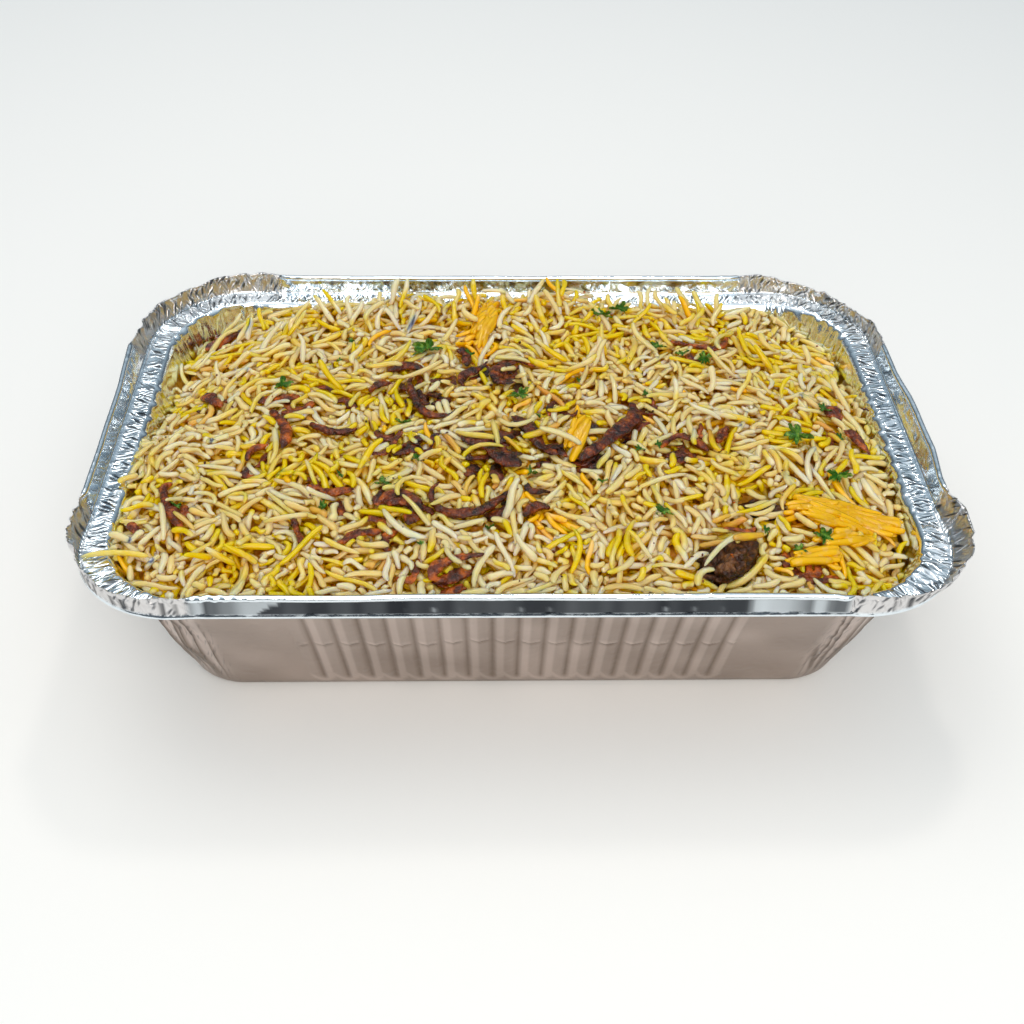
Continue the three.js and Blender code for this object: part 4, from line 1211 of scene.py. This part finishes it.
class MEAL_OT_loose_rice(bpy.types.Operator):
    """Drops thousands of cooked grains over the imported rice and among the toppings"""

    bl_idname = "meal.loose_rice"
    bl_label = "Loose Rice"

    def execute(self, context):
        settings = context.scene.meal_rice
        objects = bpy.data.objects
        floor = height_field([objects["foil_tray"], objects["packed_rice"]])
        target = blurred(height_field([NODES["rice_heap"]]), 1.5)
        toppings = [objects[name] for name in TOPPING_PIECES]
        over = height_field(toppings)
        under = height_field(toppings, from_below=True)
        meat = height_field([objects[name] for name in TOPPING_PIECES if name.startswith("meat")])
        grains, top = heap_grains(floor, target, under, over, meat, settings)
        top = blurred(top, 1.2)
        plain, turmeric = grains["dye"] == PLAIN, grains["dye"] == TURMERIC
        faint, oiled = grains["amount"] < 0.55, grains["tone"] > 0.5
        yellow = settings.turmeric
        kinds = (
            ("", yellow, 1.0, plain & ~oiled), (", golden with oil", yellow, 1.0, plain & oiled),
            (", part stained by turmeric", yellow, 1.0, turmeric & faint),
            (", dyed by turmeric", yellow, 1.0, turmeric & ~faint),
            (", dyed by saffron", settings.saffron, 0.3, grains["dye"] == SAFFRON),
        )
        for name, (finish, dyed, clear, chosen) in zip(LOOSE_PIECES, kinds):
            kind = {value: values[chosen] for value, values in grains.items()}
            points, stain, loops = grain_skins(kind, GRAIN_SIDES, GRAIN_RINGS)
            x, y, z = np.moveaxis(points, -1, 0)
            cloud = smoothstep(flat_noise(x, y, 6, 50, 53), 0.0, 0.7)
            stain = np.clip(stain + 0.65 * cloud * (0.25 + 0.75 * kind["chance"][:, :1]), 0, 1)
            # painted shade: how far each point lies below the heap's top
            depth_shade = smoothstep(top[cell_at(x, y)] - z, 0.4, 2.7)
            colours = np.stack([stain, 0 * stain + kind["tone"][:, None], depth_shade, 0 * stain + 1], -1)
            material = rice_material("steamed basmati grain" + finish, dyed, clear)
            finish_piece(joined_piece(name, points, loops, colours), material, "rice", "rice_heap")
        scraps = {value: values[grains["dye"] == ONION] for value, values in grains.items()}
        points, _, loops = grain_skins(scraps, SCRAP_SIDES, SCRAP_RINGS)
        piece = joined_piece("onion_scraps", points, loops)
        roughen(piece, ((2.4, 0.35, 401), (1.0, 0.24, 404), (0.5, 0.1, 407)))
        finish_piece(piece, onion_material(context.scene.meal_toppings), "onion")
        return {"FINISHED"}


# ---------------------------------------------------------------- toppings

TOPPING_PIECES = []
ONION_MIDDLE = (-0.004, -0.006, 0.045)          # where the onion lies thickest, in metres


def refined_node(node, cuts, name):
    """A merged copy of a CAD node's mesh, rounded and refined, as a new piece."""
    bm = bmesh.new()
    bm.from_mesh(NODES[node].data)
    bmesh.ops.remove_doubles(bm, verts=bm.verts, dist=1e-6)
    piece = link_mesh(name, mesh_of(bm, name))
    rounding = piece.modifiers.new("rounding", "SUBSURF")
    rounding.levels = rounding.render_levels = cuts
    refined = bpy.data.meshes.new_from_object(piece.evaluated_get(bpy.context.evaluated_depsgraph_get()))
    piece.modifiers.clear()
    piece.data = refined
    TOPPING_PIECES.append(name)
    return piece


def solid_noise(points, pitch, seed):
    """Smooth random values in space, from three flat noises."""
    x, y, z = (points / pitch).T
    first = smooth_noise(x + 0.7 * z + 60, y + 90, seed)
    second = smooth_noise(y - 0.6 * x + 120, z + 50, seed + 1)
    third = smooth_noise(z + 0.4 * y + 80, x + 100, seed + 2)
    return (first + second + third) / 1.7


def roughen(piece, layers, swell=0.0, number=0):
    """Pushes a piece's skin out, and in and out by layers of noise: pitch, height, first seed."""
    mesh = piece.data
    points = mesh_vectors(mesh.vertices, "co") / MM
    push = swell + sum(height * solid_noise(points, pitch, seed + number) for pitch, height, seed in layers)
    points = points + mesh_vectors(mesh.vertices, "normal") * push[:, None]
    mesh.vertices.foreach_set("co", (points * MM).ravel())
    smooth_faces(mesh)
    mesh.update()


def onion_material(settings):
    """Fried onion: thin, crisp and oily, dark where it is thick and amber where light gets through."""
    material, tree, coords = new_material("fried onion")
    # browning in patches of about 2.5 mm with fine veins of 0.6 mm, darkest where the onion lies thick
    patches = noise(tree, coords, 400.0, 4.0)
    veins = noise(tree, coords, 1500.0, 3.0)
    both = add_node(tree, "Mix", {"Factor": 0.22, "A": patches, "B": veins}).outputs["Result"]
    away = add_node(tree, "VectorMath", {0: coords, 1: ONION_MIDDLE}, operation="DISTANCE").outputs["Value"]
    tone = reckon(tree, "ADD", both, ranged(tree, away, 0.02, 0.055, -0.05, 0.06))
    stops = ((0.38, settings.onion_dark), (0.53, linear("#6A280A")), (0.69, settings.onion_light))
    return surface(material, {
        "Base Color": ramp(tree, tone, stops), "Roughness": 0.19, "Normal": bump(tree, veins, 1.0, 0.0006),
        "Specular IOR Level": 0.5, "Subsurface Weight": 0.3, "Subsurface Scale": 0.0008,
    })


ONION_ROUGHNESS = ((3.0, 0.4, 60), (1.1, 0.27, 160), (0.55, 0.11, 260))          # pitch, height, first seed
MEAT_ROUGHNESS = ((6.0, 2.6, 80), (2.6, 1.7, 180), (1.0, 0.6, 280))


class MEAL_OT_onions(bpy.types.Operator):
    """Crinkles the fried onion strips"""

    bl_idname = "meal.onions"
    bl_label = "Fried Onions"

    def execute(self, context):
        material = onion_material(context.scene.meal_toppings)
        for number, node in enumerate(nodes_in_slot("onion")):
            piece = refined_node(node, 3, node + "_crisp")
            roughen(piece, ONION_ROUGHNESS, 0.1, number)
            finish_piece(piece, material, "onion", node)
        return {"FINISHED"}


def meat_material(settings):
    """Braised meat: moist, brown in patches of about 2.5 mm, with fibres drawn out along it."""
    material, tree, coords = new_material("braised meat")
    stops = ((0.36, linear("#180803")), (0.52, settings.meat), (0.72, linear("#8E5E34")))
    shade = ramp(tree, noise(tree, coords, 420.0, 6.0), stops)
    drawn = add_node(tree, "Mapping", {
        "Vector": coords, "Rotation": (0.3, 0.5, 0.6), "Scale": (4.0, 0.8, 0.8),
    }, vector_type="TEXTURE").outputs["Vector"]
    fibres = bump(tree, noise(tree, drawn, 1100.0, 4.0), 1.0, 0.001)
    return surface(material, {
        "Base Color": shade, "Roughness": 0.35, "Normal": fibres,
        "Subsurface Weight": 0.15, "Subsurface Scale": 0.001,
    })


class MEAL_OT_meat(bpy.types.Operator):
    """Shapes the fibres of the braised meat"""

    bl_idname = "meal.meat"
    bl_label = "Meat"

    def execute(self, context):
        material = meat_material(context.scene.meal_toppings)
        for number, node in enumerate(nodes_in_slot("meat")):
            piece = refined_node(node, 4, node + "_braised")
            roughen(piece, MEAT_ROUGHNESS, -1.2, number)
            finish_piece(piece, material, "meat", node)
        return {"FINISHED"}


def leaf_points(rings, spokes, length, width, seed):
    """A lobed, toothed and waved leaf lying on X and Y, as rows of points from its middle out and back."""
    rng = np.random.default_rng(seed)
    turns = np.arange(spokes) / spokes
    lobes = int(rng.integers(5, 8))
    phase = turns * lobes + rng.random()
    reach = rng.uniform(0.45, 1.0, lobes)[np.floor(phase).astype(int) % lobes]
    lobe = np.abs(np.sin(np.pi * phase)) ** 0.8
    tooth = np.abs(np.sin(np.pi * phase * 3)) ** 0.7
    edge = 0.2 + reach * (0.5 * lobe + 0.3 * tooth * lobe)
    angle = 2 * np.pi * turns
    rows = []
    above, below = np.linspace(0, 1, rings), np.linspace(0.96, 0, rings)
    for share, side in (*((share, 1) for share in above), *((share, -1) for share in below)):
        x = length / 2 * edge * share * np.cos(angle)
        y = width / 2 * edge * share * np.sin(angle)
        fold = length * (0.1 * share ** 2 * np.sin(angle * 2 + seed) + 0.08 * share ** 2 * lobe * reach)
        crimp = 0.28 * share * np.cos(2 * np.pi * phase * 3)
        rows.append(np.stack([x, y, fold + crimp + side * 0.09 * (1 - share ** 4)], 1))
    return closed(rows)


def leaf_material(settings):
    """Coriander leaf: thin and matte with a soft sheen, paler along its veins."""
    material, tree, coords = new_material("fresh coriander leaf")
    # veins and blotches some 1.5 mm apart
    veins = noise(tree, coords, 650.0, 3.0)
    return surface(material, {
        "Base Color": blend(tree, ranged(tree, veins, 0.5, 0.72), settings.leaf, settings.leaf_pale),
        "Roughness": 0.3, "Normal": bump(tree, veins, 0.5, 0.0003), "Specular IOR Level": 0.25,
        "Subsurface Weight": 0.2, "Subsurface Scale": 0.0006,
    })


class MEAL_OT_leaves(bpy.types.Operator):
    """Lays the torn coriander leaves"""

    bl_idname = "meal.leaves"
    bl_label = "Coriander Leaves"

    def execute(self, context):
        material = leaf_material(context.scene.meal_toppings)
        for number, node in enumerate(nodes_in_slot("herb")):
            cloud = mesh_vectors(NODES[node].data.vertices, "co") / MM
            middle = (cloud.min(0) + cloud.max(0)) / 2
            # the leaf's own long, short and upright axes
            _, _, axes = np.linalg.svd(cloud - cloud.mean(0), full_matrices=False)
            if axes[2][2] < 0:
                axes[2] = -axes[2]
            axes[1] = np.cross(axes[2], axes[0])
            length, width = np.ptp((cloud - middle) @ axes.T, 0)[:2]
            points = leaf_points(9, 120, length * 1.05, width * 1.05, 300 + number) @ axes + middle
            name = node + "_leaf"
            finish_piece(link_mesh(name, mesh_from_grid(name, points)), material, "herb", node)
            TOPPING_PIECES.append(name)
        return {"FINISHED"}


# Loose bits of leaf: x, y, size.
LEAF_BITS = (
    (-28.8, -4.2, 4.3), (34, -35.6, 6.6), (57.4, -39.4, 3.1), (-44.6, 34.4, 3.8), (-47.2, 25.3, 2.3),
    (-42.9, -22.4, 2.6), (-46.4, -33, 4.6), (24.7, 42.5, 7.2), (16.7, 15.4, 2.3), (5.5, -1.2, 1.9),
    (-24.6, -20.4, 5), (3.1, -21.6, 6.5), (19.9, -25.5, 3.1), (29.9, -14.4, 3), (34.4, -13.1, 3.8),
    (-7.2, -39.6, 3.4), (-22.9, -45.3, 2.3), (33.6, 8.4, 3), (80.6, 6.6, 4.6), (83.2, -3, 3.4),
    (39.2, 29.5, 4.9), (63.8, -46.1, 4.2), (-32.3, -25.6, 5.5), (-81, -31, 3.4), (-12, 26, 4.0),
    (46, 28, 4.2),
)
CRUMBS = 150
LOWEST_CRUMB = LEDGE_Z - 8


def turned(points, heading, roll, pitch):
    """Points turned about the origin."""
    about = Matrix.Rotation(heading, 3, "Z") @ Matrix.Rotation(pitch, 3, "Y") @ Matrix.Rotation(roll, 3, "X")
    return points @ np.array(about).T


class MEAL_OT_garnish(bpy.types.Operator):
    """Scatters small bits of leaf and crumbs of spice on top of the rice"""

    bl_idname = "meal.garnish"
    bl_label = "Garnish"

    def execute(self, context):
        settings = context.scene.meal_toppings
        top = height_field([bpy.data.objects[name] for name in (*LOOSE_PIECES, *TOPPING_PIECES)])
        rng = np.random.default_rng(77)
        bits = bmesh.new()
        for number, (x, y, across) in enumerate(LEAF_BITS):
            points = leaf_points(4, 48, across * 1.25, across * rng.uniform(0.5, 1.0), 700 + number)
            points = turned(points, rng.uniform(0, 6.28), rng.normal(0, 0.3), rng.normal(0, 0.3))
            i, j = cell_at(x + points[..., 0], y + points[..., 1])
            seat = np.percentile(top[i, j] - points[..., 2], 88)
            bits.from_mesh(mesh_from_grid("bit", points + (x, y, seat)))
        piece = link_mesh("leaf_bits", mesh_of(bits, "leaf_bits"))
        smooth_faces(piece.data)
        finish_piece(piece, leaf_material(settings), "herb")
        bm = bmesh.new()
        bmesh.ops.create_icosphere(bm, subdivisions=1, radius=1.0)
        egg, loops = template(bm)
        cells = np.argwhere(top > LOWEST_CRUMB)
        i, j = cells[rng.choice(len(cells), CRUMBS)].T
        half = rng.uniform(0.15, 0.5, (CRUMBS, 1, 1)) * rng.uniform(0.6, 1.3, (CRUMBS, 1, 3))
        seat = np.stack([FIELD_X[i], FIELD_Y[j], top[i, j]], 1)[:, None, :]
        points = egg[None] * half * rng.uniform(0.75, 1.2, (CRUMBS, len(egg), 1)) + seat
        finish_piece(joined_piece("spice_crumbs", points, loops), onion_material(settings), "onion")
        return {"FINISHED"}


# ---------------------------------------------------------------- stage

CAMERA_PLACE = (-8.34, -247.61, 242.16)
CAMERA_ELEVATION = math.radians(42.44)
CAMERA_YAW = math.radians(-1.76)
CAMERA_ROLL = math.radians(1.05)
WARM = (1.0, 0.93, 0.84)
# Soft lights, in metres: name, place, what it points at, side, which setting gives its strength.
LIGHTS = (
    ("top_light", (-0.25, 0.25, 0.75), (0, 0, 0.04), 0.5, "light"),
    ("front_light", (0.1, -0.75, 0.65), (0, 0, 0.03), 0.7, "fill"),
    ("small_lamp", (0.08, 0.3, 0.65), (0, 0, 0.04), 0.07, "lamp"),
)
SKY = (
    (0.0, "#4A5056"), (0.25, "#5E6870"), (0.5, "#94A4AE"), (0.72, "#C2D0DA"), (0.88, "#EEF6FB"),
    (1.0, "#F8FCFF"),
)


class MEAL_OT_camera(bpy.types.Operator):
    """Sets up the camera"""

    bl_idname = "meal.camera"
    bl_label = "Camera"

    def execute(self, context):
        data = bpy.data.cameras.new("camera")
        data.lens = context.scene.meal_stage.lens / MM
        data.sensor_width = 36
        data.clip_start, data.clip_end = 0.01, 20
        camera = bpy.data.objects.new("camera", data)
        context.scene.collection.objects.link(camera)
        back = Vector((
            math.sin(CAMERA_YAW) * math.cos(CAMERA_ELEVATION),
            -math.cos(CAMERA_YAW) * math.cos(CAMERA_ELEVATION),
            math.sin(CAMERA_ELEVATION),
        ))
        level = Vector((math.cos(CAMERA_YAW), math.sin(CAMERA_YAW), 0))
        right = math.cos(CAMERA_ROLL) * level + math.sin(CAMERA_ROLL) * back.cross(level)
        aimed = Matrix((right, back.cross(right), back)).transposed().to_4x4()
        camera.matrix_world = Matrix.Translation(Vector(CAMERA_PLACE) * MM) @ aimed
        context.scene.camera = camera
        return {"FINISHED"}


class MEAL_OT_stage(bpy.types.Operator):
    """Lays the pale floor and hangs the soft lights"""

    bl_idname = "meal.stage"
    bl_label = "Stage"

    def execute(self, context):
        settings = context.scene.meal_stage
        bm = bmesh.new()
        bmesh.ops.create_grid(bm, x_segments=2, y_segments=2, size=3.0)
        floor = link_mesh("floor", mesh_of(bm, "floor"))
        material, _, _ = new_material("matt painted board")
        floor.data.materials.append(surface(material, {"Base Color": settings.floor, "Roughness": 0.9}))
        world = bpy.data.worlds.new("studio")
        world.use_nodes = True
        tree = world.node_tree
        tree.nodes.clear()
        # a bright ceiling over a dim horizon, so that the foil's creases have dark and light to mirror
        direction = add_node(tree, "TexCoord").outputs["Generated"]
        height = add_node(tree, "SeparateXYZ", {"Vector": direction}).outputs["Z"]
        shade = ramp(tree, height, [(place, linear(shade)) for place, shade in SKY])
        background = add_node(tree, "Background", {"Color": shade, "Strength": settings.sky})
        add_node(tree, "OutputWorld", {"Surface": background.outputs["Background"]})
        context.scene.world = world
        for name, place, aim, side, power in LIGHTS:
            data = bpy.data.lights.new(name, "AREA")
            data.shape = "SQUARE"
            data.size = side
            data.energy = getattr(settings, power)
            data.color = WARM
            light = bpy.data.objects.new(name, data)
            light.location = place
            light.rotation_euler = (Vector(aim) - Vector(place)).to_track_quat("-Z", "Y").to_euler()
            context.scene.collection.objects.link(light)
        context.scene.view_settings.view_transform = "Standard"
        return {"FINISHED"}


# ---------------------------------------------------------------- panel and start

class MEAL_PT_panel(bpy.types.Panel):
    """Lists the steps that build the meal"""

    bl_idname = "MEAL_PT_panel"
    bl_label = "Tray Meal"
    bl_space_type = "VIEW_3D"
    bl_region_type = "UI"
    bl_category = "Tray Meal"

    def draw(self, context):
        for step in STEPS:
            self.layout.operator(step.bl_idname)


STEPS = (
    MEAL_OT_camera, MEAL_OT_tray, MEAL_OT_packed_rice, MEAL_OT_onions, MEAL_OT_meat, MEAL_OT_leaves,
    MEAL_OT_loose_rice, MEAL_OT_garnish, MEAL_OT_stage,
)
GROUPS = {
    "meal_tray": TraySettings, "meal_rice": RiceSettings,
    "meal_toppings": ToppingSettings, "meal_stage": StageSettings,
}


def register():
    """Makes the settings, the steps and the panel known."""
    for group in (*GROUPS.values(), *STEPS, MEAL_PT_panel):
        bpy.utils.register_class(group)
    for name, group in GROUPS.items():
        setattr(bpy.types.Scene, name, PointerProperty(type=group))


def unregister():
    """Takes them out again."""
    for name in GROUPS:
        delattr(bpy.types.Scene, name)
    for group in reversed((*GROUPS.values(), *STEPS, MEAL_PT_panel)):
        bpy.utils.unregister_class(group)


def main():
    """Builds the meal step by step."""
    register()
    for step in STEPS:
        space, name = step.bl_idname.split(".")
        getattr(getattr(bpy.ops, space), name)()


if __name__ == "__main__":
    main()
